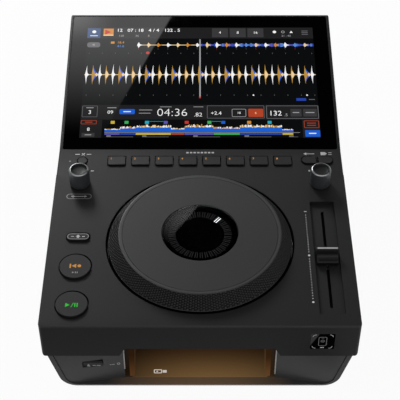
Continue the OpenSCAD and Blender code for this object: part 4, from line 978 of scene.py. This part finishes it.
# The next track's thin trace, with its small tile and numbers
next_mid = 127.4
block("line", -107.5, 124.4, -95.0, 131.0, 2.6)
draw("grey", arrow(-101.6, 127.7, 1.5, 180), layer=2)
write("orange", "18.4", -79.0, 130.6, 4.0)
write("sky", "41.6", -79.0, 125.8, 4.0)
block("orange", -85.0, 129.2, -81.5, 132.0)
noise_source = random.Random(7)
block("cream", -60.0, 127.0, 0.0, 127.8)
block("violet", 0.0, 126.8, 107.6, 128.0)
for i in range(72):
    half = 0.8 + noise_source.random() * 1.7
    tone = ("deep", "violet", "sky", "deep")[noise_source.randrange(4)]
    block(tone, i * 1.5, next_mid - half, i * 1.5 + 1.5, next_mid + half)
for i in range(18):
    x = -58.5 + 9.3 * i
    tall = 2.6 + noise_source.random() * 1.3
    tone = ("white", "cream", "orange")[i % 3] if x < 0 else ("white", "sky", "cream", "white", "orange")[i % 5]
    draw(tone, [(x + right, next_mid + up) for right, up in (
        (0, tall), (-1.3, 0), (0, -tall), (1.6, -0.9), (4.2, 0), (1.6, 0.9))], layer=2)
    block("line" if i % 4 else "red", x - 0.2, 122.0, x + 0.2, 122.8)

# The main trace: sharp beats in white and orange, each trailing off to the right
main_mid, beat = 89.6, 6.2


def half_beat(tone, x, reach, layer, *points):
    """Adds the half of a beat above or below the middle. A point is how far it is to the right of x, and its
    share of the beat's reach."""
    draw(tone, [(x + right, main_mid + reach * share) for right, share in points], layer=layer)


start, end = (-1.3, 0), (2.6, 0)
for k in range(35):
    x = -106.2 + beat * k
    tall = 13.2 - 1.6 * noise_source.random()
    for reach in (-tall, tall):
        if k % 2 == 0:
            half_beat("white", x, reach, 3, start, (-0.6, 0.34), (0.35, 1), (0.5, 0.45), (1.0, 0.17), end)
            continue
        if k % 4 == 1:
            half_beat("blue", x, reach, 1, (0.2, 0), (0.3, 0.70), (1.6, 0.42), (3.6, 0.18), (6.0, 0.5 / tall),
                      (6.0, 0))
        else:
            half_beat("cream", x, reach, 3, (-0.9, 0), (-0.2, 0.40), (0.9, 0.30), end)
        half_beat("amber", x, reach, 2, start, (-0.9, 0.30), (-0.2, 1), (0.3, 0.50), (1.2, 0.27), end)
    if k % 4 == 1:
        draw("cream", [(x + 2.0, main_mid), (x + 3.2, main_mid + 2.4), (x + 5.2, main_mid),
                       (x + 3.2, main_mid - 2.4)], layer=3)
block("cream", -108.0, 89.2, 108.0, 90.0)
for k in range(18):
    x = -105.0 + 2 * beat * k
    for s in (116.0, 63.6):
        block("line", x - 0.2, s, x + 0.2, s + 1.4)
draw("red", disc(-49.5, 117.3, 1.7))
for x in (49.2, 98.6):
    draw("white", disc(x, 64.3, 0.8))
block("deep", 88.5, 57.4, 97.5, 60.6)
block("line", 100.0, 58.6, 105.5, 59.4)

# The bar of figures
block("panel", -side, 35.0, side, 52.4, layer=0)
frame_box("line", -107.4, 38.0, -93.4, 51.4)
write("white", "3", -100.4, 43.6, 6.4, "CENTER")
block("grey", -103.8, 48.6, -97.2, 49.4)
write("white", "09", -84.4, 43.6, 5.4)
block("grey", -84.6, 48.6, -76.4, 49.4)
block("blue", -73.4, 41.4, -59.4, 47.4, 1.2)
block("white", -69.8, 43.9, -63.0, 44.9, layer=2)
block("grey", -55.6, 46.0, -43.6, 46.7)
block("grey", -55.6, 42.2, -45.0, 42.9)
write("white", "04:36", -39.5, 43.0, 12.8, weight=-0.2)
write("white", ".82", -5.6, 40.6, 6.4, weight=-0.05)
for x0, x1 in ((-36.6, -26.0), (-6.0, 3.0)):
    block("grey", x0, 49.8, x1, 50.4)
frame_box("line", 6.4, 36.4, 58.6, 51.6)
write("white", "+2.4", 9.6, 42.4, 5.6)
frame_box("grey", 29.0, 38.2, 42.0, 47.6, 0.5, 1.2)
write("white", "10", 35.5, 42.8, 3.6, "CENTER")
block("brick", 44.0, 38.0, 57.6, 47.8, 1.0)
write("cream", "6", 50.8, 42.8, 3.8, "CENTER")
frame_box("line", 60.4, 36.0, 108.0, 51.6, 0.6)
write("white", "132", 62.6, 42.2, 8.0)
write("grey", ".5", 76.6, 40.4, 4.6)
for x0, x1, inset in ((82.4, 92.4, 2.0), (94.0, 106.4, 2.2)):
    block("button", x0, 38.6, x1, 47.6, 0.6)
    block("grey", x0 + inset, 42.8, x1 - inset, 43.8, layer=2)

# The whole track: marks, its body and crest, and the bars of its parts
block("panel", -side, foot, -88.6, 34.6, layer=0)
block("panel", 92.6, foot, side, 34.6, layer=0)
frame_box("brick", -107.8, 29.6, -93.6, 34.2)
block("brick", -104.0, 31.5, -97.4, 32.4, layer=2)
write("white", "8", -100.6, 23.4, 5.4, "CENTER")
block("button", -106.4, 14.8, -94.8, 19.4)
block("grey", -103.6, 16.7, -97.6, 17.6, layer=2)
frame_box("brick", 94.0, 25.2, 107.6, 33.8, 0.5)
for s in (30.4, 27.8):
    block("brick", 96.8, s, 104.8, s + 0.8)
block("blue", 94.6, 15.0, 108.0, 22.6, 0.6)
block("white", 98.0, 18.3, 104.6, 19.4, layer=2)
for x, tone in ((-79.0, "yellow"), (-66.5, "green"), (-48.0, "cyan"), (-31.0, "violet"), (-12.0, "red"),
                (8.5, "green"), (21.0, "blue"), (44.5, "orange"), (63.0, "cyan")):
    block(tone, x - 1.8, 30.0, x + 1.8, 33.4, 0.4)
for x0, x1 in ((-46.0, -33.0), (10.5, 19.0)):
    block("cyan", x0, 32.6, x1, 33.0)
body_s = 20.4
parts = [(-86.0, -72.0, 3.4, "violet"), (-72.0, -58.0, 5.6, "deep"), (-58.0, -26.0, 7.0, "yellow"),
         (-26.0, -14.0, 4.2, "brick"), (-14.0, 12.0, 7.4, "violet"), (12.0, 36.0, 5.2, "green"),
         (36.0, 74.0, 7.2, "deep"), (74.0, 84.0, 3.0, "yellow")]
for x0, x1, tall, tone in parts:
    for step in range(round(x1 - x0)):
        x = x0 + step
        body = tall * (0.72 + 0.10 * noise_source.random())
        crest = tall * (0.14 + 0.30 * noise_source.random())
        block("blue", x, body_s, x + 1.0, body_s + body)
        crest_tone = ("white", "cream", "amber")[noise_source.randrange(3)]
        block(crest_tone, x, body_s + body, x + 1.0, body_s + body + crest)
block("grey", -86.0, 19.6, 90.0, 20.0)
for x0, x1, tall, tone in parts:
    block(tone, x0 + 0.2, 17.2, x1 - 0.2, 19.2)
for x in (-84.0, -52.0, -6.0, 40.0, 80.0):
    block("line", x, 14.6, x + 24.0 if x < 80 else 88.0, 15.0)
    block("grey", x, 15.4, x + 4.0, 16.2)

# The playhead stands over both traces
block("grey", -0.65, 62.6, 0.65, 134.8, layer=5)
block("red", -0.8, 60.6, 0.8, 62.6, layer=5)
printed("screen_picture", "case", screen, 0.008,
        [lit("lit_" + name, colour) for name, colour in tones.items()], picture)

# ---- Inner works --------------------------------------------------------
# Control board under the deck, main board and power supply on the base's
# posts, in green or tan laminate with solder resist.

board = moulded("board_resist", (0.012, 0.075, 0.038), 0.35, grain=1.2, depth=0.03, uneven=0.35)
dress(board, "control_board", "main_board")
dress(moulded("power_laminate", (0.16, 0.11, 0.045), 0.5, grain=1.5, depth=0.03, uneven=0.3), "power_supply")

# ---- The scene's last update --------------------------------------------

bpy.context.view_layer.update()
